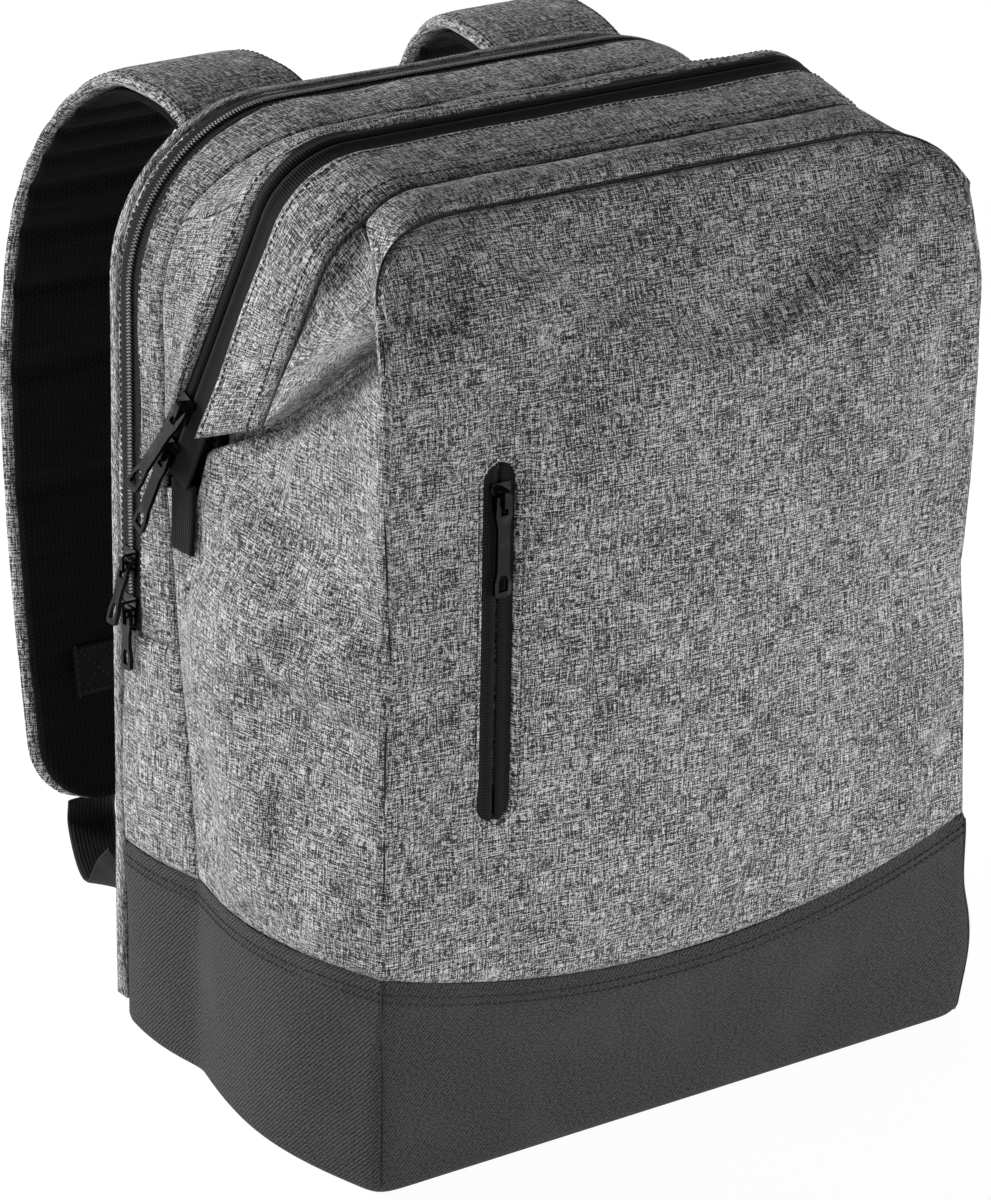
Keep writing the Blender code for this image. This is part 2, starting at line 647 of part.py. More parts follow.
PINCH = front_cap(-HALF_WIDTH + 2 * MM, FOLD_ANGLE + 2 * fold_gap)
SEAM_PART = 1.55
SEAM_CORNER = mouth_at(SEAM_PART, band_out + SEAM_GAP)
CREASE = 0.1
grid = []
for x in CAP_COLUMNS[4:10]:
    v = 0.5 * (1 + x / CAP_X)
    low = front_cap(x, arch_angle(x))
    if v <= CREASE:
        high = lerp(PINCH, SEAM_CORNER, v / CREASE)
    else:
        high = mouth_at(lerp(SEAM_PART, 3.0, (v - CREASE) / (0.5 - CREASE)), band_out + SEAM_GAP)
    low = low + (high - low) / np.linalg.norm(high - low) * 3 * SEAM_GAP
    grid.append([lerp(low, high, r) for r in np.linspace(0, 1, 4)])
flip = np.array((-1, 1, 1))
grid += [[p * flip for p in row] for row in grid[-2::-1]]
fabric("front_top_strip", grid, 2 * MM, GREY, draw=3)

for mirror, word in ((False, "left"), (True, "right")):
    grid = []
    for r in np.linspace(0.14, 1, 6):
        crease = lerp(PINCH, SEAM_CORNER, r)
        fold = lerp(PINCH, BAND_TIP, r)
        row = []
        for k in np.linspace(0, 1, 5):
            edge = mouth_at(lerp(SEAM_PART, BAND_LOW_OUTER / LEG_LONG, k), band_out + SEAM_GAP)
            row.append(lerp(lerp(crease, fold, k), edge, r ** 4))
        grid.append([p * flip if mirror else p for p in row])
    hub = (0.0, -0.02, 0.3)
    panel = np.array(grid)
    step = panel[:, 1] - panel[:, 0]
    panel[:, 0] += step / np.linalg.norm(step, axis=1, keepdims=True) * 2 * SEAM_GAP
    fabric(f"{word}_gusset_fold", panel, 2 * MM, GREY, hub, 0.5 * MM)

# Tab that closes each end of the mouth zip
for side, word in ((-1, "left"), (1, "right")):
    grid = []
    for y in np.linspace(REAR_SEAM_HIGH - 22 * MM, REAR_SEAM_HIGH - 8 * MM, 3):
        column = []
        for z in np.linspace(MOUTH_END_Z - 34 * MM, MOUTH_END_Z - 12 * MM, 3):
            column.append((side * (side_x(y, z) + FIT_GAP + 1.6 * MM), y, z))
        grid.append(column)
    panel = np.array(grid)
    slab(f"{word}_zip_end_tab", panel, panel - np.array((side * 1.6 * MM, 0, 0)), TAPE)


# Shoulder straps, their lining, webbing, adjusters and wing tabs
def curve(points, count):
    """Even points along a smooth line through the given points."""
    points = np.array(points, dtype=float)
    ends = np.vstack([2 * points[0] - points[1], points, 2 * points[-1] - points[-2]])
    line = []
    for k in range(1, len(ends) - 2):
        a, b, c, d = ends[k - 1:k + 3]
        for t in np.linspace(0, 1, 16, endpoint=False):
            bow = (2 * a - 5 * b + 4 * c - d) * t ** 2 + (3 * b - a - 3 * c + d) * t ** 3
            line.append(0.5 * (2 * b + (c - a) * t + bow))
    line.append(points[-1])
    line = np.array(line)
    far = np.concatenate([[0], np.cumsum(np.linalg.norm(np.diff(line, axis=0), axis=1))])
    spots = np.linspace(0, far[-1], count)
    return np.array([np.interp(spots, far, line[:, k]) for k in range(3)]).T, spots


def ribbon(name, line, wide, low, high, across, mat, span=(0, None)):
    """Band along a line: half width per point, between two heights on its face normal."""
    way = np.gradient(line, axis=0)
    way /= np.linalg.norm(way, axis=1, keepdims=True)
    across = np.broadcast_to(np.array(across, dtype=float), line.shape)
    across = across / np.linalg.norm(across, axis=1, keepdims=True)
    up = np.cross(across, way)
    up /= np.linalg.norm(up, axis=1, keepdims=True)
    rings = []
    for p, w, a, n in zip(line, wide, across, up):
        edge = 0.25 * (high - low)
        shape = ((-w, low + edge), (-w, high - edge), (-w + edge, high), (w - edge, high))
        shape += ((w, high - edge), (w, low + edge), (w - edge, low), (-w + edge, low))
        rings.append([p + a * s + n * h for s, h in shape])
    return loft(name, rings[span[0]:span[1]], mat)


STRAP_START = BACK_Y + BACK_THICK + FIT_GAP
STRAP_LINE = (
    (STRAP_X, STRAP_START, ARCH_TOP - 9 * MM),
    (STRAP_X, STRAP_START + 12 * MM, ARCH_TOP - 9 * MM),
    (STRAP_X + 1 * MM, STRAP_START + 28 * MM, ARCH_TOP - 7 * MM),
    (STRAP_X + 4 * MM, STRAP_START + 54 * MM, ARCH_TOP - 9 * MM),
    (STRAP_X + 10 * MM, STRAP_START + 84 * MM, ARCH_TOP - 32 * MM),
    (STRAP_X + 16 * MM, STRAP_START + 104 * MM, ARCH_TOP - 72 * MM),
    (STRAP_X + 20 * MM, STRAP_START + 110 * MM, ARCH_TOP - 130 * MM),
    (STRAP_X + 21 * MM, STRAP_START + 108 * MM, ARCH_TOP - 190 * MM),
    (STRAP_X + 21 * MM, STRAP_START + 102 * MM, ARCH_TOP - 250 * MM),
    (STRAP_X + 21 * MM, STRAP_START + 94 * MM, ARCH_TOP - 300 * MM),
    (STRAP_X + 21 * MM, STRAP_START + 86 * MM, ARCH_TOP - 345 * MM),
)
END_ROUND = 30 * MM
strap, spots = curve(STRAP_LINE, 27)
half_widths = []
for far in spots:
    past = max(0.0, far - (spots[-1] - END_ROUND)) / END_ROUND
    half_widths.append(STRAP_WIDTH / 2 - END_ROUND * (1 - math.sqrt(1 - min(past, 0.98) ** 2)))
half_widths = np.array(half_widths)
LOCK_AT = len(strap) - 2
for side, word in ((-1, "left"), (1, "right")):
    mirror = np.array((side, 1, 1))
    line = strap * mirror
    across = (1, 0, 0)
    ribbon(f"{word}_strap_cover", line, half_widths, 0.0, STRAP_COVER, across, GREY)
    under = -LAYER_GAP - STRAP_LINING
    ribbon(f"{word}_strap_lining", line, half_widths - 2 * MM, under, -LAYER_GAP, across, LINING)

    # Adjuster frame on the outer face near the strap end, held by a short loop of webbing
    way = strap[LOCK_AT + 1] - strap[LOCK_AT - 1]
    way /= np.linalg.norm(way)
    out = np.cross((1, 0, 0), way)
    seat = strap[LOCK_AT] + out * (STRAP_COVER + FIT_GAP)
    turn = Matrix((Vector((-1, 0, 0)), Vector(-way), Vector(out))).transposed().to_4x4()
    place = Matrix.Translation(Vector(seat * mirror)) @ turn
    lift = WEB_THICK + 2 * FIT_GAP
    half = LOCK_WIDTH / 2
    frame = ((-half, -14 * MM), (half, -14 * MM), (half, 14 * MM), (-half, 14 * MM))
    lock = prism(f"{word}_adjuster", frame, lift, lift + LOCK_THICK, PLASTIC, place)
    hole = half - 3.2 * MM
    for low, high in ((-10 * MM, -4 * MM), (-1 * MM, 3 * MM), (6 * MM, 10.5 * MM)):
        cut = ((-hole, low), (hole, low), (hole, high), (-hole, high))
        combine(lock, prism("cut", cut, -1 * MM, 20 * MM, PLASTIC, place), "DIFFERENCE")
    loop_half = hole - 0.6 * MM
    loop = np.full(len(line), loop_half)
    seat_low = STRAP_COVER + FIT_GAP
    held = (LOCK_AT - 2, LOCK_AT + 1)
    ribbon(f"{word}_adjuster_loop", line, loop, seat_low, seat_low + WEB_THICK, across, WEBBING, held)

    # Webbing from the adjuster to the wing tab at the lower corner of the back
    apex = Vector((side * (HALF_WIDTH - 14 * MM), BACK_Y + BACK_THICK + 15 * MM, 62 * MM))
    start = place @ Vector((0, -19 * MM, lift + LOCK_THICK / 2))
    path = [
        start,
        start + Vector((0, 0.0, -14 * MM)),
        lerp(start, apex, 0.5) + Vector((0, 0, -26 * MM)),
        apex + Vector((side * -4 * MM, 14 * MM, -11 * MM)),
        apex,
    ]
    line, _ = curve([tuple(p) for p in path], 15)
    half_web = np.full(len(line), WEB_WIDTH / 2)
    flat, turned = np.array((side, 0, 0)), np.array((side * 0.55, -0.2, 0.75))
    twist = [lerp(flat, turned, smooth(0.2, 1, k / 14)) for k in range(15)]
    ribbon(f"{word}_webbing", line, half_web, -WEB_THICK / 2, WEB_THICK / 2, np.array(twist), WEBBING)
    wing_x = side * (HALF_WIDTH - 14 * MM)
    wing_front, wing_rear = BACK_Y + BACK_THICK + FIT_GAP, apex.y - FIT_GAP - WEB_THICK / 2
    wing = ((wing_front, 20 * MM), (wing_rear, 44 * MM), (wing_rear, 82 * MM), (wing_front, 92 * MM))
    stand = Matrix(((0, 0, 1, wing_x - 2 * MM), (1, 0, 0, 0), (0, 1, 0, 0), (0, 0, 0, 1)))
    prism(f"{word}_wing_tab", wing, 0, 4 * MM, GREY, stand)

# Grab loop between the straps
loop_y = BACK_Y + BACK_THICK + FIT_GAP
LOOP = (
    (-32 * MM, loop_y, ARCH_TOP - 22 * MM),
    (-27 * MM, loop_y + 14 * MM, ARCH_TOP - 22 * MM),
    (-12 * MM, loop_y + 22 * MM, ARCH_TOP - 22 * MM),
    (12 * MM, loop_y + 22 * MM, ARCH_TOP - 22 * MM),
    (27 * MM, loop_y + 14 * MM, ARCH_TOP - 22 * MM),
    (32 * MM, loop_y, ARCH_TOP - 22 * MM),
)
line, _ = curve(LOOP, 19)
line[:, 1] = np.maximum(line[:, 1], loop_y)
ribbon("grab_loop", line, np.full(len(line), 11 * MM), 0.0, 3 * MM, (0, 0, 1), WEBBING)

# Zip sliders and pulls
AXIS_UP = PLATE_GAP + PLATE + EYE_HALF


def box(name, x, y, z, mat, place):
    outline = ((x[0], y[0]), (x[1], y[0]), (x[1], y[1]), (x[0], y[1]))
    return prism(name, outline, z[0], z[1], mat, place)


def slider(name, place):
    """Slider with its nose along +Y, its face along +Z and the tape plane at Z = 0."""
    nose, tail = SLIDER_LONG / 2, -SLIDER_LONG / 2
    wide = SLIDER_HALF
    plan = ((-0.72 * wide, tail), (0.72 * wide, tail), (0.8 * wide, 0.0), (wide, 0.5 * nose))
    plan += ((0.9 * wide, nose), (-0.9 * wide, nose), (-wide, 0.5 * nose), (-0.8 * wide, 0.0))
    body = prism(name, plan, PLATE_GAP, PLATE_GAP + PLATE, METAL, place)
    combine(body, prism("back", plan, -PLATE_GAP - PLATE, -PLATE_GAP, METAL, place), "UNION")
    post = TAPE_PART - FIT_GAP
    lap = 0.3 * MM
    rise = (-PLATE_GAP - lap, PLATE_GAP + lap)
    combine(body, box("post", (-post, post), (0.3 * nose, 0.9 * nose), rise, METAL, place), "UNION")
    reach, leg = 2.7 * MM, 1.3 * MM
    floor = PLATE_GAP + PLATE - lap
    crest = AXIS_UP + EYE_HALF
    tall = crest + 1.2 * MM
    slope = 1.0 * MM
    end = reach + leg
    side = [(-end, floor), (-reach, floor), (-reach, crest), (reach, crest), (reach, floor), (end, floor)]
    side += [(end, tall - slope), (end - slope, tall), (-end + slope, tall), (-end, tall - slope)]
    turn = place @ Matrix(((0, 0, 1, 0), (1, 0, 0, 0), (0, 1, 0, 0), (0, 0, 0, 1)))
    combine(body, prism("bridge", side, -BRIDGE_HALF, BRIDGE_HALF, METAL, turn), "UNION")
    body.name = name
    return body


def pull(name, place, length=PULL_LONG, half=PULL_HALF, window=True):
    """Flat pull that hangs along -Y from the slider eye; its own origin is on the hinge axis."""
    bar = 1.0 * MM
    low, high = -PULL_THICK / 2, PULL_THICK / 2
    narrow = 0.72 * half
    plan = ((-half * 0.9, bar), (half * 0.9, bar), (half, -7 * MM), (narrow, -12 * MM))
    plan += ((narrow, -length + 11 * MM), (half, -length + 6 * MM), (half, -length + 1 * MM))
    plan += ((half - 1 * MM, -length), (1 * MM - half, -length), (-half, -length + 1 * MM))
    plan += ((-half, -length + 6 * MM), (-narrow, -length + 11 * MM), (-narrow, -12 * MM))
    plan += ((-half, -7 * MM),)
    item = prism(name, plan, low, high, METAL, place)
    eye = BRIDGE_HALF + 0.6 * MM
    combine(item, box("eye", (-eye, eye), (-7 * MM, -bar), (-5 * MM, 5 * MM), METAL, place), "DIFFERENCE")
    if window:
        gap = half - 1.6 * MM
        hole = ((-gap, -length + 2.2 * MM), (gap, -length + 2.2 * MM), (gap, -length + 6.5 * MM))
        hole += ((0.5 * gap, -length + 9 * MM), (-0.5 * gap, -length + 9 * MM), (-gap, -length + 6.5 * MM))
        combine(item, prism("window", hole, -5 * MM, 5 * MM, METAL, place), "DIFFERENCE")
    pivot = place.translation.copy()
    item.data.transform(Matrix.Translation(-pivot))
    item.location = pivot
    item.name = name
    return item


def frame_at(point, nose, face):
    nose = Vector(nose).normalized()
    face = Vector(face).normalized()
    side = nose.cross(face)
    turn = Matrix((side, nose, face)).transposed().to_4x4()
    return Matrix.Translation(Vector(point)) @ turn


def zip_pair(word, place, length=PULL_LONG, half=PULL_HALF, tilt=0.0):
    slider(f"{word}_slider", place)
    eye = place @ Matrix.Translation((0, 0, AXIS_UP)) @ Matrix.Rotation(-tilt, 4, "X")
    pull(f"{word}_pull", eye, length, half)


POCKET_STOP = POCKET_HIGH - POCKET_SLOT / 2 - SLIDER_LONG / 2
zip_pair("pocket", frame_at((POCKET_X, TAPE_Y, POCKET_STOP), (0, 0, 1), (0, -1, 0)))
LEG_WAY = Vector(mouth(1.0)[0] - mouth(0.0)[0]).normalized()
LEG_FACE = Vector(LEG_ACROSS).cross(LEG_WAY)
if LEG_FACE.x > 0:
    LEG_FACE.negate()
for word, far, tilt in (("mouth_lower", 9 * MM, 0.0), ("mouth_upper", 31 * MM, PULL_TILT)):
    zip_pair(word, frame_at(mouth(far / LEG_LONG)[0], LEG_WAY, LEG_FACE), tilt=tilt)
REAR_FACE_X = gusset(0.5, REAR_ZIP_Y, True)[0] + 0.9 * MM + TAPE_THICK / 2
rear_pair = (("rear_lower", REAR_ZIP_Z + 9 * MM, 0.0), ("rear_upper", REAR_ZIP_Z + 30 * MM, PULL_TILT))
for word, z, tilt in rear_pair:
    zip_pair(word, frame_at((REAR_FACE_X, REAR_ZIP_Y, z), (0, 0, 1), (-1, 0, 0)), 27 * MM, 3.4 * MM, tilt)
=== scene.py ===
import math

import bpy
import numpy as np
from mathutils import Matrix, Vector


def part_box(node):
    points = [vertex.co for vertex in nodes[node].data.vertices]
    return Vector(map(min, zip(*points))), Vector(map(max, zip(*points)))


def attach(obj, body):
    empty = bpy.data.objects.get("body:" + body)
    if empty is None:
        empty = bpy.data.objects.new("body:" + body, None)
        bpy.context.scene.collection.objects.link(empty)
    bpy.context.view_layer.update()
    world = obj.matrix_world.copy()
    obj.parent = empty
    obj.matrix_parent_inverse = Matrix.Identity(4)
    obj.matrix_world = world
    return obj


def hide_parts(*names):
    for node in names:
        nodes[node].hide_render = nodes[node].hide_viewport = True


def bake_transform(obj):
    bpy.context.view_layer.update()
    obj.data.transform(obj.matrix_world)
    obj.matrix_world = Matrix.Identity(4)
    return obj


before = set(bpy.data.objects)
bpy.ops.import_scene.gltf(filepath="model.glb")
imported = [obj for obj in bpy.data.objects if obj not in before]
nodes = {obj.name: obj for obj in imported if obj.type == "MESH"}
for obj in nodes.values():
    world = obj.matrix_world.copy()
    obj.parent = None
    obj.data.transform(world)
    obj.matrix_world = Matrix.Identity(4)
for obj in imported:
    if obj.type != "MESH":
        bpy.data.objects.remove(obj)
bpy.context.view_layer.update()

MM = 0.001

# Sizes shared with the solids
HALF_WIDTH, HALF_DEPTH = 152 * MM, 98 * MM
SIDE_BULGE, SIDE_TUCK, FRONT_BULGE = 12 * MM, 5 * MM, 6 * MM
BASE_FRONT, BASE_BACK, BASE_DIP = 98 * MM, 86 * MM, 24 * MM
SHOULDER_Z, SHOULDER_DEPTH, SHOULDER_RISE = 330 * MM, 43 * MM, 75 * MM
FOLD_ANGLE, ARCH_ANGLE, ARCH_CORNER = math.radians(30), math.radians(72), 52 * MM
MOUTH_END, MOUTH_TOP = np.array((0, 56 * MM, 268 * MM)), np.array((0, -6 * MM, 415 * MM))
MOUTH_END_HALF, MOUTH_TOP_HALF, MOUTH_CORNER = 154.5 * MM, 139 * MM, 32 * MM
TAPE_REAR, TAPE_FRONT, LIP_BAND = 7 * MM, 14 * MM, 30 * MM
SEAM_LOW, SEAM_HIGH, SEAM_TOP = 38 * MM, 63 * MM, 47 * MM
SEAM_LEVEL = MOUTH_END[2] - 11 * MM
REAR_CROWN, REAR_ZIP_Z, REAR_ZIP_Y = 3 * MM, 188 * MM, 85 * MM
ARCH_TOP, ARCH_RADIUS = 404 * MM, 70 * MM
POCKET_X, POCKET_LOW, POCKET_HIGH, POCKET_HALF = -100 * MM, 156 * MM, 308 * MM, 8 * MM
POCKET_MIDDLE = 0.5 * (POCKET_LOW + POCKET_HIGH)
POCKET_STRAIGHT = 0.5 * (POCKET_HIGH - POCKET_LOW) - POCKET_HALF
BACK_Y = HALF_DEPTH + 0.4 * MM
BACK_THICK = 10 * MM
BACK_FACE = BACK_Y + BACK_THICK + 0.4 * MM

# Cloth thickness, which borders of a panel turn in, and both sides of the bag
SHELL = 2.4 * MM
SEWN, FLAT = (1, 1, 1, 1), (0, 0, 0, 0)
SIDES = (-1, "left"), (1, "right")
NO_X = np.array((0, 1, 1))
LIP_OVER_TAPE, REAR_LIP_OVER_TAPE = 8.5 * MM, 5.2 * MM


# Finishes
class Value:
    """A socket's value that can be used in sums."""

    def __init__(self, owner, socket):
        self.owner, self.socket = owner, socket

    def maths(self, operation, *values):
        made = self.owner.node("ShaderNodeMath", {"operation": operation}, dict(enumerate(values)))
        return Value(self.owner, made.outputs[0])

    def __add__(self, other):
        return self.maths("ADD", self, other)

    def __radd__(self, other):
        return self.maths("ADD", other, self)

    def __sub__(self, other):
        return self.maths("SUBTRACT", self, other)

    def __rsub__(self, other):
        return self.maths("SUBTRACT", other, self)

    def __mul__(self, other):
        return self.maths("MULTIPLY", self, other)

    def __rmul__(self, other):
        return self.maths("MULTIPLY", other, self)

    def wave(self, pitch):
        return self.maths("SINE", self * (2 * math.pi / pitch)) * 0.5 + 0.5

    def between(self, low, high, kind="SMOOTHSTEP"):
        span = {"Value": self, "From Min": low, "From Max": high}
        made = self.owner.node("ShaderNodeMapRange", {"interpolation_type": kind}, span)
        return Value(self.owner, made.outputs["Result"])


class Nodes:
    """The nodes of a material or of the world."""

    def __init__(self, tree):
        self.tree = tree

    def join(self, slot, value):
        if isinstance(value, Value):
            self.tree.links.new(value.socket, slot)
        else:
            slot.default_value = value

    def node(self, kind, settings=None, inputs=None):
        made = self.tree.nodes.new(kind)
        for key, value in (settings or {}).items():
            setattr(made, key, value)
        for key, value in (inputs or {}).items():
            self.join(made.inputs[key], value)
        return made

    def place(self, kind):
        made = self.node("ShaderNodeTexCoord")
        return Value(self, made.outputs[kind])

    def parts(self, vector):
        made = self.node("ShaderNodeSeparateXYZ", None, {"Vector": vector})
        return [Value(self, made.outputs[k]) for k in "XYZ"]

    def noise(self, vector, scale, detail):
        made = self.node("ShaderNodeTexNoise", None, {"Vector": vector, "Scale": scale, "Detail": detail})
        return Value(self, made.outputs["Fac"])

    def streaks(self, vector, across, along, detail):
        scale = {0: vector, 1: (across, along, 1)}
        made = self.node("ShaderNodeVectorMath", {"operation": "MULTIPLY"}, scale)
        return self.noise(Value(self, made.outputs[0]), 1, detail)

    def blend(self, part, first, second):
        made = self.node("ShaderNodeMix", {"data_type": "RGBA"})
        self.join(made.inputs[0], part)
        self.join(made.inputs[6], first if isinstance(first, Value) else (*first, 1))
        self.join(made.inputs[7], second if isinstance(second, Value) else (*second, 1))
        return Value(self, made.outputs[2])


class Finish(Nodes):
    """One material."""

    def __init__(self, name, rough=0.8, metal=0.0, gloss=None):
        self.mat = bpy.data.materials.new(name)
        self.mat.use_nodes = True
        super().__init__(self.mat.node_tree)
        self.shader = self.tree.nodes["Principled BSDF"]
        self.shader.inputs["Roughness"].default_value = rough
        self.shader.inputs["Metallic"].default_value = metal
        if gloss is not None:
            self.shader.inputs["Specular IOR Level"].default_value = gloss

    def cloth(self):
        made = self.node("ShaderNodeAttribute", {"attribute_name": "cloth"})
        return Value(self, made.outputs["Vector"])

    def set(self, colour=None, rough=None, height=None, relief=0.3, deep=0.0005):
        if colour is not None:
            self.join(self.shader.inputs["Base Color"], colour if isinstance(colour, Value) else (*colour, 1))
        if rough is not None:
            self.join(self.shader.inputs["Roughness"], rough)
        if height is not None:
            bump = self.node("ShaderNodeBump", None, {"Strength": relief, "Distance": deep, "Height": height})
            self.join(self.shader.inputs["Normal"], Value(self, bump.outputs[0]))
        return self.mat


def melange(name, dark, middle, light):
    f = Finish(name, 0.92, gloss=0.12)
    at = f.cloth()
    u, v, _ = f.parts(at)
    weft, warp = f.streaks(at, 400, 2500, 1), f.streaks(at, 2500, 400, 1)
    slub = f.streaks(at, 85, 1800, 0) * 0.5 + f.streaks(at, 1800, 100, 0) * 0.5
    over = (u.wave(MM) * v.wave(MM) + (u + 0.5 * MM).wave(MM) * (v + 0.5 * MM).wave(MM)).between(0.2, 0.75)
    thread = weft * over + warp * (1.0 - over)
    cloud = f.noise(at, 22, 3)
    mixed = thread * 0.56 + slub * 0.34 + f.noise(at, 1500, 1) * 0.10 + (cloud - 0.5) * 0.06
    grain = mixed.between(0.425, 0.58)
    tone = f.blend(grain.between(0.0, 0.55), dark, middle)
    tone = f.blend(grain.between(0.5, 1.0), tone, light)
    f.shader.inputs["Sheen Weight"].default_value = 0.08
    f.shader.inputs["Sheen Roughness"].default_value = 0.6
    return f.set(tone, 0.86 + grain * 0.1, grain * 0.5 + over * 0.5, 0.6, 0.5 * MM)


def twill(name, dark, light):
    f = Finish(name, 0.85, gloss=0.16)
    at = f.cloth()
    u, v, _ = f.parts(at)
    drift = f.noise(at, 60, 2) * 1.6 * MM
    rib = (u - v + drift).wave(2.1 * MM)
    thread = f.streaks(at, 700, 1400, 2)
    worn = f.noise(at, 30, 3)
    tone = f.blend(rib * 0.5 + thread.between(0.36, 0.64) * 0.5, dark, light)
    tone = f.blend(worn.between(0.45, 0.8) * 0.25, tone, light)
    return f.set(tone, 0.72 + rib * 0.12, rib * 0.7 + thread * 0.3, 0.55, 0.5 * MM)


def ribbed(name, dark, light, pitch, across=True, rough=0.75, relief=0.5):
    f = Finish(name, rough, gloss=0.1)
    at = f.cloth()
    u, v, _ = f.parts(at)
    rib = (u if across else v).wave(pitch)
    cross = (v if across else u).wave(pitch * 0.8)
    thread = f.noise(at, 1400, 1)
    tone = f.blend(rib * 0.5 + thread * 0.35 + cross * 0.15, dark, light)
    return f.set(tone, rough - 0.1 + thread * 0.15, rib * 0.7 + cross * 0.3, relief, 0.4 * MM)


def knit(name, dark, light):
    f = Finish(name, 0.9, gloss=0.08)
    at = f.cloth()
    u, v, _ = f.parts(at)
    cell = u.wave(2.2 * MM) * (v + u * 0.5).wave(2.2 * MM)
    crease = f.streaks(at, 14, 240, 2)
    # The crease streaks are relief in the bump and, in the tone, painted highlight on their ridges and
    # painted shade between them
    tone = f.blend(cell * 0.6 + crease * 0.4, dark, light)
    return f.set(tone, 0.85 + cell * 0.1, cell * 0.4 + crease * 1.2, 0.5, 0.8 * MM)


def cast(name, colour, light, rough, metal):
    f = Finish(name, rough, metal)
    at = f.place("Object")
    mottle = f.noise(at, 700, 2)
    rub = f.noise(at, 160, 3).between(0.5, 0.75)
    return f.set(f.blend(rub * 0.5, colour, light), rough - 0.08 + mottle * 0.16, mottle, 0.12, 0.2 * MM)


GREY = melange("grey_melange", (0.02, 0.02, 0.0205), (0.13, 0.13, 0.132), (0.8, 0.8, 0.805))
TWILL = twill("charcoal_twill", (0.003, 0.003, 0.0033), (0.1, 0.1, 0.102))
TAPE = ribbed("black_zip_tape", (0.004, 0.004, 0.0042), (0.022, 0.022, 0.0225), 1.3 * MM, False, 0.7, 0.8)
WEB = ribbed("black_webbing", (0.003, 0.003, 0.0032), (0.026, 0.026, 0.027), 1.9 * MM, True, 0.7, 0.9)
GROSGRAIN = ribbed("black_grosgrain", (0.008, 0.008, 0.009), (0.028, 0.028, 0.03), 1.3 * MM, False, 0.75, 0.8)
KNIT = knit("black_lining", (0.003, 0.003, 0.0032), (0.022, 0.022, 0.0225))
ZINC = cast("black_zinc", (0.02, 0.02, 0.021), (0.07, 0.07, 0.073), 0.2, 0.9)
ACETAL = cast("black_acetal", (0.011, 0.011, 0.012), (0.02, 0.02, 0.021), 0.42, 0.0)
THREAD = ribbed("dark_thread", (0.02, 0.02, 0.022), (0.06, 0.06, 0.064), 0.6 * MM, True, 0.6)
COIL = cast("black_coil", (0.006, 0.006, 0.0065), (0.02, 0.02, 0.021), 0.26, 0.0)


# Mesh making
def smooth(low, high, value):
    part = np.clip((value - low) / (high - low), 0, 1)
    return part * part * (3 - 2 * part)


def lerp(a, b, part):
    return a + (b - a) * part


def unit(v):
    v = np.asarray(v, dtype=float)
    return v / np.linalg.norm(v, axis=-1, keepdims=True)


def sag(points):
    """How the soft shell leans from its even form, with slack corners and a creased gusset."""
    p = np.array(points, dtype=float)
    x, y, z = p[:, 0], p[:, 1], p[:, 2]
    # The right side is drawn in towards the front, by height
    front = 1 - smooth(0.045, 0.095, y)
    draw = np.interp(z, [0.05, 0.11, 0.17, 0.215, 0.25, 0.30, 0.36, 0.42], [0, 3, 6, 11, 8, 7, 9, 9]) * MM
    p[:, 0] -= smooth(0.03, 0.15, x) * front * draw
    # The lower right corner stands out
    foot = ((x - 0.155) / 0.03) ** 2 + ((y + 0.09) / 0.04) ** 2 + ((z - 0.035) / 0.028) ** 2
    p[:, 0] += 7 * MM * np.exp(-foot)
    # The left front corner is slack, by height
    corner = np.exp(-((x + HALF_WIDTH) / 0.022) ** 2 - ((y + HALF_DEPTH) / 0.03) ** 2)
    kink = np.interp(z, [0.10, 0.20, 0.235, 0.265, 0.30, 0.34, 0.3675], [0, 0, 3.5, 0.5, -2.5, -1.5, 0]) * MM
    p[:, 0] += corner * kink
    p[:, 1] += corner * kink * 0.6
    # A crease runs from the pinch to the corner of the lip's seam
    way = SEAM_CORNER - PINCH
    along = np.clip((p - PINCH) @ way / (way @ way), 0, 1)
    near = np.linalg.norm(p - PINCH - along[:, None] * way, axis=1)
    deep = 6.5 * MM * np.exp(-(near / (8 * MM)) ** 2) * (1 - 0.5 * along) * smooth(-0.05, 0.15, along)
    p += deep[:, None] * np.array((0.62, 0.55, -0.56))
    return p


def mesh_piece(name, verts, faces, mat, cloth=None, slack=True):
    if cloth is None:
        cloth = verts
    if slack:
        verts = sag(verts)
    mesh = bpy.data.meshes.new(name)
    mesh.from_pydata([tuple(v) for v in verts], [], faces)
    mesh.materials.append(mat)
    mesh.polygons.foreach_set("use_smooth", [True] * len(mesh.polygons))
    spot = mesh.attributes.new("cloth", "FLOAT_VECTOR", "POINT")
    values = np.array(cloth, dtype=np.float32)
    spot.data.foreach_set("vector", values.ravel())
    piece = bpy.data.objects.new(name, mesh)
    bpy.context.scene.collection.objects.link(piece)
    return piece


def normals(grid, inside):
    way = np.cross(np.gradient(grid, axis=0), np.gradient(grid, axis=1))
    for axis in (0, 1, 0, 1):
        edge = np.concatenate([np.take(way, [0], axis), way, np.take(way, [-1], axis)], axis)
        last = way.shape[axis]
        way = way + np.take(edge, range(0, last), axis) + np.take(edge, range(2, last + 2), axis)
    way = unit(way + 1e-15)
    return way if np.sum(way * (grid - np.array(inside))) > 0 else -way


def far_along(grid, axis):
    step = np.linalg.norm(np.diff(grid, axis=axis), axis=2)
    zero = np.zeros_like(np.take(step, [0], axis=axis))
    return np.cumsum(np.concatenate([zero, step], axis=axis), axis=axis)


def borders(grid):
    """Distance of each point from the first and last row and the first and last column."""
    a, b = far_along(grid, 0), far_along(grid, 1)
    return a, a[-1:] - a, b, b[:, -1:] - b


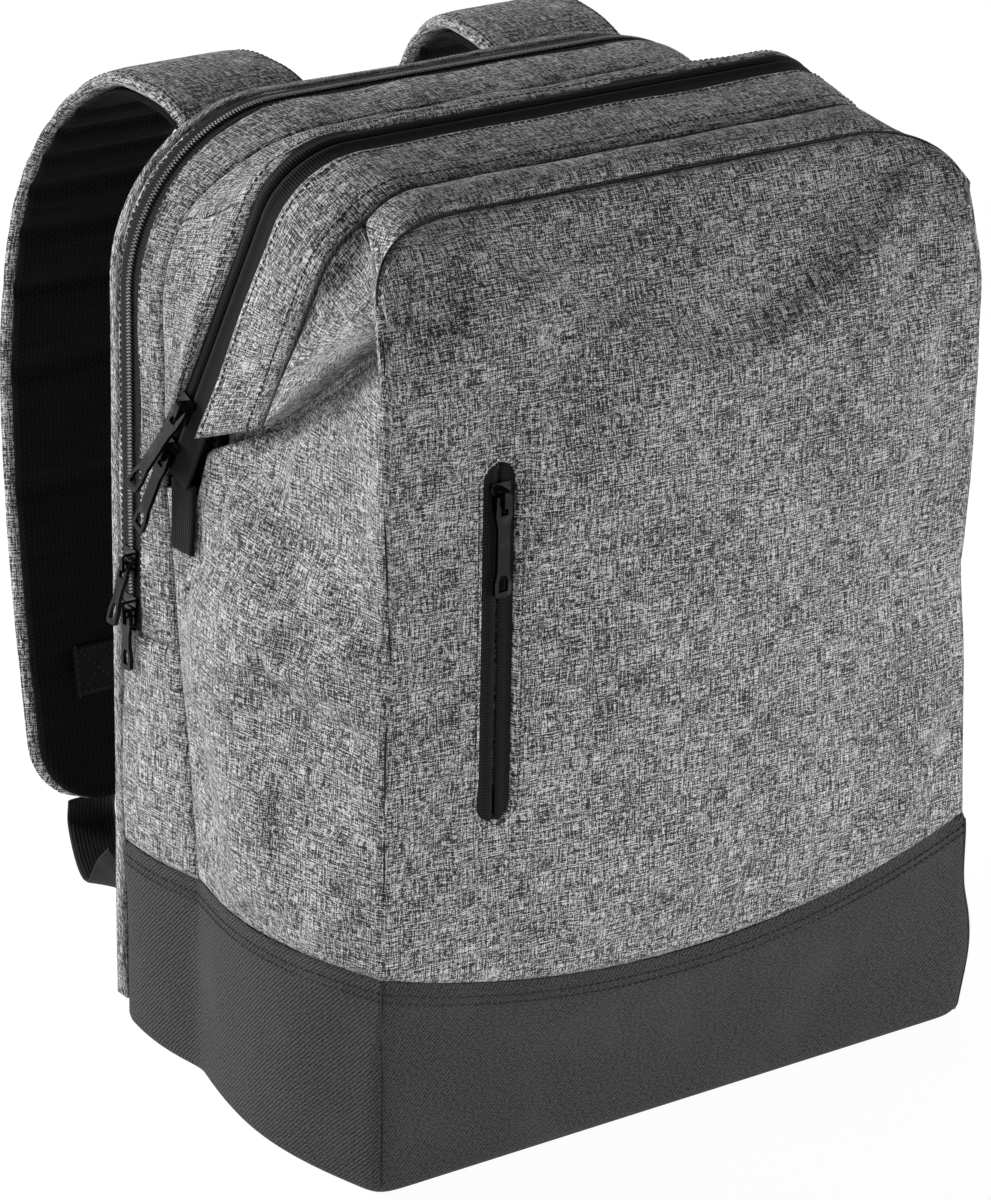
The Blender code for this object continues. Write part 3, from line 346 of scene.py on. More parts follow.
def quads(grid):
    """Numbers of a grid's points, and its faces."""
    rows, cols = grid.shape[:2]
    index = np.arange(rows * cols).reshape(rows, cols)
    corners = index[:-1, :-1], index[:-1, 1:], index[1:, 1:], index[1:, :-1]
    return index, np.stack(corners, -1).reshape(-1, 4)


# Outer points and directions of pieces that others are sewn to
surfaces = {}


def panel(name, grid, mat, thick=SHELL, inside=(0, 0, 0.2), roll=SEWN, deep=1.6 * MM, wide=4 * MM,
          puff=None, weave=None):
    """Sewn panel from a fine grid; roll says which of its first and last rows and columns turn in."""
    grid = np.array(grid, dtype=float)
    out = normals(grid, inside)
    edges = borders(grid)
    sink = np.zeros(grid.shape[:2])
    for keep, far in zip(roll, edges):
        sink = np.maximum(sink, keep * (1 - np.clip(far / wide, 0, 1)) ** 2)
    lift = -deep * sink
    if puff is not None:
        lift = lift + puff
    outer = grid + out * lift[..., None]
    surfaces[name] = outer, out
    inner = grid + out * (np.minimum(lift, 0) - thick)[..., None]
    index, q = quads(grid)
    back = index.size
    rim = np.concatenate([index[0], index[1:, -1], index[-1, -2::-1], index[-2:0:-1, 0]])
    nxt = np.roll(rim, -1)
    side = np.stack([nxt, rim, rim + back, nxt + back], -1)
    faces = np.concatenate([q, q[:, ::-1] + back, side])
    p = outer[0, 0], outer[0, 1], outer[1, 1]
    if np.dot(np.cross(p[1] - p[0], p[2] - p[1]), out[0, 0]) < 0:
        faces = faces[:, ::-1]
    if weave is None:
        weave = edges[2].mean(axis=0)[None, :], edges[0].mean(axis=1)[:, None]
    spot = np.stack(np.broadcast_arrays(*weave, np.zeros_like(sink)), -1).reshape(-1, 3)
    verts = np.concatenate([outer.reshape(-1, 3), inner.reshape(-1, 3)])
    under = spot + thick * np.array((1.0, 1.0, 0))
    return mesh_piece(name, verts, faces.tolist(), mat, np.concatenate([spot, under]))


def skin(name, beads, mat, cloth=None, flip=False):
    """Piece made of beads, each a closed skin over rings of points."""
    verts, faces = [], []
    for rings in beads:
        start, sides = len(verts), len(rings[0])
        for ring in rings:
            verts.extend(ring)
        last = len(verts) - sides
        for first in range(start, last, sides):
            for j in range(sides):
                a, b = first + j, first + (j + 1) % sides
                faces.append((a, b, b + sides, a + sides))
        faces.append(tuple(range(start, start + sides))[::-1])
        faces.append(tuple(range(last, last + sides)))
    if flip:
        faces = [face[::-1] for face in faces]
    return mesh_piece(name, verts, faces, mat, cloth)


def run_along(path):
    """Distance from the start of a path at each of its points."""
    return np.concatenate([[0], np.cumsum(np.linalg.norm(np.diff(path, axis=0), axis=1))])


def spread(*stretches):
    """Rising values over stretches that are each given as first, last and count."""
    runs = [np.linspace(*stretches[0])] + [np.linspace(*stretch)[1:] for stretch in stretches[1:]]
    return np.concatenate(runs)


def tube(name, path, radius, mat, sides=8):
    path = np.array(path, dtype=float)
    way = unit(np.gradient(path, axis=0))
    first = unit(np.cross(way, np.where(np.abs(way[:, 2:3]) > 0.9, (1.0, 0, 0), (0, 0, 1.0))))
    second = np.cross(way, first)
    turns = np.linspace(0, 2 * math.pi, sides, endpoint=False)[None, :, None]
    rings = path[:, None] + radius * (np.cos(turns) * first[:, None] + np.sin(turns) * second[:, None])
    return skin(name, [rings], mat)


def even(path, count=None, pitch=None):
    path = np.array(path, dtype=float)
    far = run_along(path)
    if count is None:
        count = max(2, int(far[-1] / pitch))
    spots = np.linspace(0, far[-1], count)
    return np.array([np.interp(spots, far, path[:, k]) for k in range(3)]).T


def stitches(name, path, out, mat, pitch=3.2 * MM, long=2.3 * MM, radius=0.35 * MM):
    """Row of thread stitches on a surface along a path, lying towards out."""
    path = np.array(path, dtype=float)
    out = np.broadcast_to(np.asarray(out, dtype=float), path.shape)
    spots = even(path, pitch=pitch)
    way = unit(np.gradient(spots, axis=0))
    up = unit(even(out, count=len(spots)))
    beads = []
    shape = ((-0.5, 0.0, 0.35), (-0.3, 0.55, 1.0), (0.3, 0.55, 1.0), (0.5, 0.0, 0.35))
    turns = np.linspace(0, 2 * math.pi, 6, endpoint=False)[:, None]
    for p, w, n in zip(spots, way, up):
        across = np.cos(turns) * np.cross(w, n) + np.sin(turns) * n
        beads.append([p + w * far * long + radius * (n * high + fat * across) for far, high, fat in shape])
    return skin(name, beads, mat)


def ribbon(name, path, half, low, high, mat, edge, steps, across=(1, 0, 0)):
    """Band along a path with soft edges; half is the half width, low and high the faces along its normal."""
    path = np.array(path, dtype=float)
    way = unit(np.gradient(path, axis=0))
    across = unit(np.broadcast_to(np.asarray(across, dtype=float), path.shape))
    up = unit(np.cross(across, way))
    half, low, high = (np.broadcast_to(np.asarray(k, dtype=float), (len(path),)) for k in (half, low, high))
    turns = np.linspace(-1, 1, steps)
    mids, talls = 0.5 * (low + high), 0.5 * (high - low)
    far = np.sign(turns) * np.abs(turns) ** 0.8
    bulge = (1 - np.abs(turns) ** (2 / edge)) ** 0.5
    shape = [(f, b) for f, b in zip(far, bulge)] + [(f, -b) for f, b in zip(far[-2:0:-1], bulge[-2:0:-1])]
    rings, spot = [], []
    for p, h, a, n, r, mid, tall in zip(path, half, across, up, run_along(path), mids, talls):
        rings.append([p + a * f * h + n * (mid + b * tall) for f, b in shape])
        spot += [(f * h, r, 0) for f, b in shape]
    return skin(name, [rings], mat, spot)


def curve(points, count):
    points = np.array(points, dtype=float)
    ends = np.vstack([2 * points[0] - points[1], points, 2 * points[-1] - points[-2]])
    line = []
    for k in range(1, len(ends) - 2):
        a, b, c, d = ends[k - 1:k + 3]
        for t in np.linspace(0, 1, 24, endpoint=False):
            square = (2 * a - 5 * b + 4 * c - d) * t ** 2
            cube = (3 * b - a - 3 * c + d) * t ** 3
            line.append(0.5 * (2 * b + (c - a) * t + square + cube))
    line.append(points[-1])
    return even(line, count)


# Surfaces of the bag
MOUTH_RISE = MOUTH_TOP - MOUTH_END
MOUTH_LONG = float(np.linalg.norm(MOUTH_RISE))
MOUTH_UP = MOUTH_RISE / MOUTH_LONG
LEG_ACROSS = np.array((0.0, -MOUTH_UP[2], MOUTH_UP[1]))
TOP_ACROSS = np.array((0.0, -math.cos(math.radians(12)), -math.sin(math.radians(12))))
LEG_LEAN = math.atan2(MOUTH_END_HALF - MOUTH_TOP_HALF, MOUTH_LONG)
MOUTH_TANGENT = MOUTH_CORNER * math.tan((math.pi / 2 - LEG_LEAN) / 2)
LEG_LONG = MOUTH_LONG / math.cos(LEG_LEAN) - MOUTH_TANGENT
FOLD_Z = SHOULDER_Z + SHOULDER_RISE * math.sin(FOLD_ANGLE)
FOLD_Y = -HALF_DEPTH + SHOULDER_DEPTH * (1 - math.cos(FOLD_ANGLE))


def mouth(part, far):
    """Zip line: 0 to 1 left leg, 1 to 2 corner, 2 to 4 top, then mirrored; far leads to the front."""
    if part > 3:
        return mouth(6 - part, far) * np.array((-1, 1, 1))
    if part <= 1:
        flat = (-MOUTH_END_HALF + part * LEG_LONG * math.sin(LEG_LEAN), part * LEG_LONG * math.cos(LEG_LEAN))
    elif part <= 2:
        turn = LEG_LEAN + (part - 1) * (math.pi / 2 - LEG_LEAN)
        wide = -MOUTH_TOP_HALF + MOUTH_TANGENT - MOUTH_CORNER * math.cos(turn)
        flat = (wide, MOUTH_LONG - MOUTH_CORNER + MOUTH_CORNER * math.sin(turn))
    else:
        flat = ((-MOUTH_TOP_HALF + MOUTH_TANGENT) * (3 - part), MOUTH_LONG)
    across = unit(lerp(LEG_ACROSS, TOP_ACROSS, smooth(1, 2, part)))
    return MOUTH_END + np.array((flat[0], 0, 0)) + MOUTH_UP * flat[1] + across * far


def rear_seam(z):
    return float(np.interp(z, [BASE_BACK, SEAM_LEVEL], [SEAM_LOW, SEAM_HIGH]))


def base_edge(y):
    return lerp(BASE_FRONT, BASE_BACK, (y + HALF_DEPTH) / (2 * HALF_DEPTH))


BAND_OUT = TAPE_FRONT + LIP_BAND
BAND_LOW, NICK_LOW = 57 * MM / LEG_LONG, 22 * MM / LEG_LONG
BAND_TIP, BAND_NICK = mouth(BAND_LOW, BAND_OUT), mouth(NICK_LOW, TAPE_FRONT)


def side_top(y):
    ys = [-HALF_DEPTH, BAND_TIP[1], BAND_NICK[1], BAND_NICK[1] + 9 * MM, HALF_DEPTH]
    zs = [FOLD_Z, BAND_TIP[2] - 2 * MM, BAND_NICK[2] - 2 * MM, SEAM_LEVEL, SEAM_LEVEL]
    return float(np.interp(y, ys, zs))


def front_y(x, z):
    fade = 1 - smooth(POCKET_HIGH + 8 * MM, FOLD_Z - 4 * MM, z)
    swell = FRONT_BULGE * smooth(0, POCKET_LOW - 30 * MM, z) * fade
    lean = 0.0
    if z > SHOULDER_Z:
        lean = SHOULDER_DEPTH * (1 - math.sqrt(max(0.0, 1 - ((z - SHOULDER_Z) / SHOULDER_RISE) ** 2)))
    return -HALF_DEPTH - swell * math.cos(math.pi * x / (2 * HALF_WIDTH)) + lean


def front_edge(x):
    return BASE_FRONT - BASE_DIP * (1 - (x / HALF_WIDTH) ** 2)


def side_x(y, z):
    seam = rear_seam(z)
    if y >= seam:
        return HALF_WIDTH + REAR_CROWN * math.sin(math.pi * (y - seam) / (HALF_DEPTH - seam))
    low = base_edge(y)
    height = (z - low) / (side_top(y) - low)
    swell = SIDE_BULGE * (1 - smooth(0.5, 0.95, height)) - SIDE_TUCK * smooth(0.6, 1.0, height)
    return HALF_WIDTH + swell * math.sin(math.pi * min((seam - y) / (seam - front_y(HALF_WIDTH, z)), 1.0))


def front_cap(x, angle):
    y = -HALF_DEPTH + SHOULDER_DEPTH * (1 - math.cos(angle))
    return np.array((x, y, SHOULDER_Z + SHOULDER_RISE * math.sin(angle)))


def arch_angle(x):
    past = max(0.0, abs(x) - (HALF_WIDTH - ARCH_CORNER)) / ARCH_CORNER
    return lerp(FOLD_ANGLE, ARCH_ANGLE, math.sqrt(max(0.0, 1 - past * past)))


def arch(part):
    """Outline of the rear compartment, counted as the mouth is, with its direction outwards."""
    if part > 3:
        point, out = arch(6 - part)
        return (-point[0], point[1]), (-out[0], out[1])
    spring = ARCH_TOP - ARCH_RADIUS
    if part <= 1:
        return (-HALF_WIDTH, lerp(REAR_ZIP_Z, spring, part)), (-1.0, 0.0)
    if part <= 2:
        turn = (part - 1) * math.pi / 2
        out = (-math.cos(turn), math.sin(turn))
        return (-HALF_WIDTH + ARCH_RADIUS + ARCH_RADIUS * out[0], spring + ARCH_RADIUS * out[1]), out
    return ((-HALF_WIDTH + ARCH_RADIUS) * (3 - part), ARCH_TOP), (0.0, 1.0)


def arch_seam(part):
    return lerp(rear_seam(arch(part)[0][1]), SEAM_TOP, smooth(1.2, 2.0, min(part, 6 - part)))


def gusset(part, y, level=False):
    """Crowned strip round the rear compartment; under its zip it is level."""
    point, out = arch(part)
    seam = arch_seam(part)
    crown = REAR_CROWN * (0.85 if level else math.sin(math.pi * max(0.0, (y - seam) / (HALF_DEPTH - seam))))
    return np.array((point[0] + out[0] * crown, y, point[1] + out[1] * crown))


PINCH = front_cap(-HALF_WIDTH + 1 * MM, FOLD_ANGLE)
SEAM_PART = 1.55
SEAM_CORNER = mouth(SEAM_PART, BAND_OUT)
CAP_X = HALF_WIDTH - 1.5 * MM


def ripple(a, b, seed, waves=6, low=8.0, high=40.0):
    """Smooth uneven surface from a few sine waves, about -1 to 1."""
    pick = np.random.default_rng(seed)
    total = np.zeros_like(np.asarray(a, dtype=float))
    for _ in range(waves):
        turn = pick.uniform(0, 2 * math.pi)
        size = pick.uniform(low, high)
        start = pick.uniform(0, 2 * math.pi)
        total += np.sin((a * math.cos(turn) + b * math.sin(turn)) * size * 2 * math.pi + start)
    return total / waves


def creases(a, b, table):
    """Soft folds, each given by its height in mm, centre, direction, length and width."""
    total = np.zeros_like(a)
    for high, centre, way, long, wide in table:
        da, db = a - centre[0], b - centre[1]
        along, off = da * way[0] + db * way[1], db * way[0] - da * way[1]
        total += high * MM * np.exp(-(along / long) ** 2 - (off / wide) ** 2)
    return total


def settle(grid, held, steps, grow, push, limit):
    """Fine grid after the cloth between its held places has settled with a little more cloth than room."""
    grid = np.array(grid, dtype=float)
    rows = np.unique(np.linspace(0, grid.shape[0] - 1, steps[0]).round().astype(int))
    cols = np.unique(np.linspace(0, grid.shape[1] - 1, steps[1]).round().astype(int))
    coarse = grid[np.ix_(rows, cols)]
    sheet = mesh_piece("settling", coarse.reshape(-1, 3), quads(coarse)[1].tolist(), GREY, slack=False)
    grip = np.array(held, dtype=float)[np.ix_(rows, cols)]
    grip[0], grip[-1], grip[:, 0], grip[:, -1] = 1, 1, 1, 1
    group = sheet.vertex_groups.new(name="held")
    for k, value in enumerate(grip.ravel()):
        group.add([k], float(value), "REPLACE")
    cloth = sheet.modifiers.new("cloth", "CLOTH")
    last = 20
    cloth.point_cache.frame_start, cloth.point_cache.frame_end = 1, last
    settings = {
        "quality": 6, "mass": 0.25, "vertex_group_mass": "held",
        "tension_stiffness": 18, "compression_stiffness": 18, "bending_stiffness": 1.2,
        "shrink_min": -grow, "use_pressure": True, "uniform_pressure_force": push,
    }
    for key, value in settings.items():
        setattr(cloth.settings, key, value)
    cloth.settings.effector_weights.gravity = 0
    cloth.collision_settings.use_self_collision = False
    scene = bpy.context.scene
    for step in range(1, last + 1):
        scene.frame_set(step)
    shape = sheet.evaluated_get(bpy.context.evaluated_depsgraph_get()).data
    moved = np.zeros(len(shape.vertices) * 3)
    shape.vertices.foreach_get("co", moved)
    shift = moved.reshape(coarse.shape) - coarse
    size = np.linalg.norm(shift, axis=2, keepdims=True)
    shift = shift * np.minimum(1, limit * np.tanh(size / limit) / np.maximum(size, 1e-9))
    scene.frame_set(1)
    bpy.data.objects.remove(sheet)
    fine = np.zeros(grid.shape)
    for axis in range(3):
        wide = np.array([cubic(np.arange(grid.shape[1]), cols, shift[i, :, axis]) for i in range(len(rows))])
        tall = [cubic(np.arange(grid.shape[0]), rows, wide[:, j]) for j in range(grid.shape[1])]
        fine[..., axis] = np.array(tall).T
    return grid + fine * smooth(0, 24 * MM, np.minimum.reduce(borders(grid)))[..., None]


def cubic(at, spots, values):
    """Smooth curve through spots."""
    slope = np.gradient(values, spots)
    k = np.clip(np.searchsorted(spots, at, side="right") - 1, 0, len(spots) - 2)
    gap = spots[k + 1] - spots[k]
    t = (at - spots[k]) / gap
    a, b = values[k], values[k + 1]
    rise = (2 * t ** 3 - 3 * t ** 2 + 1) * a + (3 * t ** 2 - 2 * t ** 3) * b
    return rise + gap * ((t ** 3 - 2 * t ** 2 + t) * slope[k] + (t ** 3 - t ** 2) * slope[k + 1])


def on(piece, body, slot_name, *stands_for, fill=None):
    if body is not None:
        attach(piece, body)
    if stands_for:
        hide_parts(*stands_for)
    return piece


FLAP_START, FLAP_END = (0, FOLD_Y, FOLD_Z - 14 * MM), (0, FOLD_Y, FOLD_Z + 14 * MM)
LEG_START, LEG_END = (tuple(mouth(p, BAND_OUT) * NO_X) for p in (BAND_LOW, SEAM_PART))


def bend(piece, start, end, slot_name, *stands_for):
    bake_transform(piece)
    return on(piece, None, slot_name, *stands_for)


def pull_room(x, z):
    """1 where the pocket pull hangs below its slot, falling off around."""
    across = 1 - smooth(6 * MM, 14 * MM, np.abs(x - POCKET_X))
    return across * smooth(112 * MM, 126 * MM, z) * (1 - smooth(POCKET_LOW + 8 * MM, POCKET_LOW + 20 * MM, z))


# Front panel with the pocket slot pressed in
FRONT_CREASES = (
    (-2.2, (-0.135, 0.30), (0.25, 0.97), 0.05, 0.007),
    (2.0, (-0.122, 0.33), (0.35, 0.93), 0.05, 0.010),
    (-1.8, (0.10, 0.12), (0.9, 0.4), 0.06, 0.010),
)


def front_panel():
    wide = HALF_WIDTH - 0.4 * MM
    left, right = POCKET_X - 14 * MM, POCKET_X + 14 * MM
    xs = spread((-wide, left, 30), (left, right, 36), (right, wide, 110))
    fold = 0.8
    rows = spread((0, fold, 190), (fold, 1, 36))
    grid = np.zeros((len(xs), len(rows), 3))
    for i, x in enumerate(xs):
        low = front_edge(x)
        top = arch_angle(min(abs(x), CAP_X))
        for j, r in enumerate(rows):
            if r <= fold:
                z = lerp(low, FOLD_Z, r / fold)
                grid[i, j] = (x, front_y(x, z), z)
            else:
                grid[i, j] = front_cap(x, lerp(FOLD_ANGLE, top, (r - fold) / (1 - fold)))
    x, z = grid[..., 0], grid[..., 2]
    pocket = (np.abs(x - POCKET_X) < 16 * MM) & (z > POCKET_LOW - 46 * MM) & (z < POCKET_HIGH + 8 * MM)
    rise = far_along(grid, 1) + front_edge(x)
    grid = settle(grid, pocket, (60, 70), 0.014, 0.4, 5 * MM)
    puff = 0.9 * MM * ripple(x, z, 3, 7, 3, 10)
    puff += 0.3 * MM * ripple(x, z, 5, 8, 14, 30)
    puff += creases(x, z, FRONT_CREASES)
    off = np.hypot(x - POCKET_X, np.maximum(np.abs(z - POCKET_MIDDLE) - POCKET_STRAIGHT, 0))
    calm = smooth(POCKET_HALF, POCKET_HALF + 14 * MM, off)
    room = pull_room(x, z)
    puff *= calm * (1 - room)
    puff -= 4.2 * MM * (1 - smooth(POCKET_HALF - 0.9 * MM, POCKET_HALF + 0.4 * MM, off))
    rim = np.exp(-((off - POCKET_HALF - 2 * MM) / (1.6 * MM)) ** 2)
    puff += 0.5 * MM * rim * (1 - room) - 1.3 * MM * room
    piece = panel("front_panel_cloth", grid, GREY, puff=puff, weave=(x, rise))
    bend(piece, FLAP_START, FLAP_END, "grey_melange", "front_panel", "front_panel_top")


front_panel()


# Side panels, each in two pieces that meet at the rear seam
SIDE_CREASES = (
    (3.0, (-0.045, 0.30), (0.8, -0.6), 0.05, 0.012),
    (-3.0, (-0.02, 0.255), (0.9, -0.35), 0.05, 0.009),
    (2.5, (-0.065, 0.245), (0.75, 0.6), 0.03, 0.009),
    (-2.5, (0.035, 0.20), (0.1, 1.0), 0.06, 0.008),
)


def side_grid(side, rows, cols, far_y, top):
    """Side of the bag from the rear seam to far_y, up to top; each turn of the inner loop comes closer."""
    grid = np.zeros((rows, cols, 3))
    for i, along in enumerate(np.linspace(0, 1, rows)):
        for j, rise in enumerate(np.linspace(0, 1, cols)):
            z, y = 0.0, 0.0
            for _ in range(5):
                y = lerp(rear_seam(z), far_y(z), along)
                z = lerp(base_edge(y), top(y), rise)
            grid[i, j] = (side * side_x(y, z), y, z)
    return grid


def side_panels():
    for side, word in SIDES:
        grid = side_grid(side, 110, 120, lambda z: front_y(HALF_WIDTH, z), side_top)
        y, z = grid[..., 1], grid[..., 2]
        tab = np.hypot(y - (SEAM_HIGH - 15 * MM), z - MOUTH_END[2] + 12 * MM) < 26 * MM
        grid = settle(grid, tab, (40, 52), 0.035, 0.5, 6 * MM)
        puff = 0.8 * MM * ripple(y, z, 11 + side, 7, 4, 12) + 0.3 * MM * ripple(y, z, 17 + side, 8, 14, 34)
        top = np.vectorize(side_top)(y)
        under = smooth(-0.097, -0.085, y) * (1 - smooth(-0.01, 0.03, y))
        puff -= 7.5 * MM * np.exp(-((top - z) / (15 * MM)) ** 2) * under
        puff += creases(y, z, SIDE_CREASES)
        piece = panel(f"{word}_side_cloth", grid, GREY, puff=puff, weave=(y, z))
        on(piece, "bag", "grey_melange", f"{word}_side_panel")
        grid = side_grid(side, 40, 50, lambda z: HALF_DEPTH, lambda y: REAR_ZIP_Z)
        y, z = grid[..., 1], grid[..., 2]
        puff = 1.0 * MM * ripple(y, z, 23 + side, 6, 6, 18)
        piece = panel(f"{word}_rear_side_cloth", grid, GREY, puff=puff, weave=(y, z))
        on(piece, "bag", "grey_melange", f"{word}_rear_side")


side_panels()


# Twill base; its walls are counted from the left one round the front
WALL_OUT = np.array([(-1, 0, 0), (0, -1, 0), (1, 0, 0), (0, 1, 0)], dtype=float)


def wall(part, rise, inset=0.0):
    """Place on the walls: part leads round, rise from the floor to the upper edge."""
    side, along = int(part) % 4, part - int(part)
    wide, deep = HALF_WIDTH - inset, HALF_DEPTH - inset
    if side in (0, 2):
        y = lerp(deep, -deep, along) if side == 0 else lerp(-deep, deep, along)
        z = rise * base_edge(y)
        return np.array(((wide + side_x(y, z) - HALF_WIDTH) * (-1 if side == 0 else 1), y, z))
    x = lerp(-wide, wide, along) if side == 1 else lerp(wide, -wide, along)
    if side == 3:
        return np.array((x, deep, rise * BASE_BACK))
    z = rise * front_edge(x)
    return np.array((x, front_y(x, z) + inset, z))


def base():
    around = np.linspace(0, 4, 361)[:-1]
    foot = ((0.0, 7, 0), (0.0, 4.5, 0.3), (0.02, 2.2, 1.4), (0.04, 0.7, 3.4), (0.06, 0, 6))
    inner = ((1.0, 1.2), (1.0, 2.6), (0.6, 2.8), (0.1, 2.8))
    levels = [(rise, inset * MM, level * MM) for rise, inset, level in foot]
    levels += [(rise, 0.0, None) for rise in np.linspace(0.1, 1.0, 34)]
    levels += [(rise, inset * MM, None) for rise, inset in inner]
    levels.append((0.04, 9 * MM, 3 * MM))
    rings, spots = [], []
    run = run_along([wall(p, 0.5) for p in around])
    for rise, inset, level in levels:
        ring = np.array([wall(p, rise, inset) for p in around])
        if level is not None:
            ring[:, 2] = level
        soft = ring
        for _ in range(7):
            soft = 0.5 * soft + 0.25 * (np.roll(soft, 1, axis=0) + np.roll(soft, -1, axis=0))
        ease = 1 - smooth(0.55, 0.95, rise)
        ring[:, :2] = lerp(ring[:, :2], soft[:, :2], ease)
        if inset == 0.0 and level is None:
            corner = np.abs(around[:, None] - np.arange(5)).min(axis=1)
            calm = smooth(0.0, 0.1, corner) * smooth(0.0, 0.3, rise) * smooth(0.0, 0.12, 1 - rise)
            swell = 1.4 * MM * ripple(run, np.full_like(run, rise * 0.09), 31, 7, 5, 16) * calm
            swell -= 1.3 * MM * max(0.0, 1 - 30 * (1 - rise))
            ring = ring + WALL_OUT[around.astype(int)] * swell[:, None]
        rings.append(ring)
        spots.append(np.stack([run, ring[:, 2], np.zeros_like(run)], -1))
    surfaces["base_cloth"] = np.array(rings), around
    piece = skin("base_cloth", [rings], TWILL, np.concatenate(spots), flip=True)
    on(piece, "bag", "charcoal_twill", "base_tray")
    for drop, word in ((5.5 * MM, "upper"), (9 * MM, "lower")):
        path, out = [], []
        for p in np.linspace(0.02, 2.98, 360):
            point = wall(p, 1.0)
            point = wall(p, (point[2] - drop) / point[2])
            out.append(WALL_OUT[int(p)])
            path.append(point + out[-1] * 0.35 * MM)
        on(stitches(f"base_{word}_stitching", path, out, THREAD), "bag", "charcoal_twill")


base()


# Rear compartment: gusset strips, zip and coil
def rear_compartment():
    parts = spread((0, 1, 40), (1, 2, 40), (2, 4, 70), (4, 5, 40), (5, 6, 40))
    tape, gap = 6.6 * MM, 0.8 * MM
    strips = (
        ("rear_gusset_front", None, -tape, 18, GREY),
        ("rear_zip_tape_front", -tape - 1 * MM, -gap, 5, TAPE),
        ("rear_zip_tape_back", gap, tape + 1 * MM, 5, TAPE),
        ("rear_gusset_back", tape, HALF_DEPTH - REAR_ZIP_Y, 8, GREY),
    )
    hub = (0, 0.05, 0.2)
    for name, first, last, rows, mat in strips:
        grid = []
        for part in parts:
            start = arch_seam(part) if first is None else REAR_ZIP_Y + first
            grid.append([gusset(part, y, mat is TAPE) for y in np.linspace(start, REAR_ZIP_Y + last, rows)])
        grid = np.array(grid)
        if mat is GREY:
            puff = 1.3 * MM * ripple(far_along(grid, 0), grid[..., 1], 41, 8, 6, 22)
            made = panel(name + "_cloth", grid, GREY, SHELL, hub, SEWN, 1.2 * MM, 3 * MM, puff)
            on(made, "bag", "grey_melange", name)
        else:
            puff = np.full(grid.shape[:2], -1 * MM)
            made = panel(name + "_cloth", grid, TAPE, 1 * MM, hub, FLAT, puff=puff)
            on(made, "bag", "black_zip_tape", name)
    rear_coil(even([gusset(p, REAR_ZIP_Y, True) for p in parts], pitch=1.5 * MM))
    for far, word in ((-tape - 2.2 * MM, "front"), (tape + 2 * MM, "back")):
        path = [gusset(p, REAR_ZIP_Y + far) for p in parts]
        out = [(arch(p)[1][0], 0, arch(p)[1][1]) for p in parts]
        on(stitches(f"rear_zip_{word}_stitching", path, out, THREAD), "bag", "grey_melange")


def rear_coil(path):
    """Two rows of teeth that reach past each other."""
    way = unit(np.gradient(path, axis=0))
    up = unit(np.cross(way, (0, 1, 0)))
    outwards = np.sum(up * (path - np.array((0, REAR_ZIP_Y, 0.25))), axis=1)
    up = np.where(outwards[:, None] < 0, -up, up)
    turns = np.linspace(0, 2 * math.pi, 6, endpoint=False)[:, None]
    tooth = ((-1.798, 0.25), (-1.178, 0.55), (1.178, 0.55), (1.798, 0.25))
    beads = []
    for p, w, n in zip(path, way, up):
        across = np.cos(turns) * w + 1.5 * np.sin(turns) * n
        for side in (-1, 1):
            middle = p + (w * 0.38 * side - n * 0.6 + np.array((0, 0.7 * side, 0))) * MM
            beads.append([middle + (np.array((0, far, 0)) + fat * across) * MM for far, fat in tooth])
    on(skin("rear_zip_coil", beads, COIL), "bag", "black_zip_tape")


rear_compartment()


# Mouth: tapes, lip bands, front top and gusset folds
LEG = np.linspace(0, 1, 44)
TOP = spread((1, 2, 40), (2, 4, 90), (4, 5, 40))
WHOLE = np.concatenate([LEG[:-1], TOP, 6 - LEG[::-1][1:]])
HUB = (0, 0.01, 0.25)


def tape_lift(fars):
    """Rounded ridge of the covered coil beside the middle line."""
    fars = np.abs(fars)
    ridge = 0.9 * MM * np.exp(-((fars - 2.6 * MM) / (1.7 * MM)) ** 2)
    return ridge - 0.5 * MM * np.exp(-(fars / (0.7 * MM)) ** 2)


def mouth_tape(name, first, last, rows):
    fars = np.linspace(first, last, rows)
    grid = np.array([[mouth(p, f) for f in fars] for p in WHOLE])
    puff = np.broadcast_to(tape_lift(fars), grid.shape[:2])
    return panel(name, grid, TAPE, 1 * MM, HUB, FLAT, puff=puff)


def front_lip():
    leg = np.linspace(0, 1, 40)
    fars = np.linspace(0, 1, 16)
    grid = []
    for p in np.concatenate([leg, TOP[1:-1], 6 - leg[::-1]]):
        fold = min(p, 6 - p)
        row = []
        for far in fars:
            q = lerp(lerp(NICK_LOW, BAND_LOW, far), 1, fold) if fold < 1 else fold
            row.append(mouth(q if p < 3 else 6 - q, lerp(LIP_OVER_TAPE, BAND_OUT, far)))
        grid.append(row)
    grid = np.array(grid)
    run = far_along(grid, 0)
    across = np.broadcast_to(fars, run.shape)
    puff = 1.2 * MM * (1 + np.sin(math.pi * across)) + 1 * MM * ripple(run, 0.03 * across, 53, 7, 5, 18)
    band = panel("front_lip_cloth", grid, GREY, SHELL, HUB, SEWN, 1.8 * MM, 4 * MM, puff)
    bend(band, LEG_START, LEG_END, "grey_melange", "front_lip_band", "left_lip_leg", "right_lip_leg")


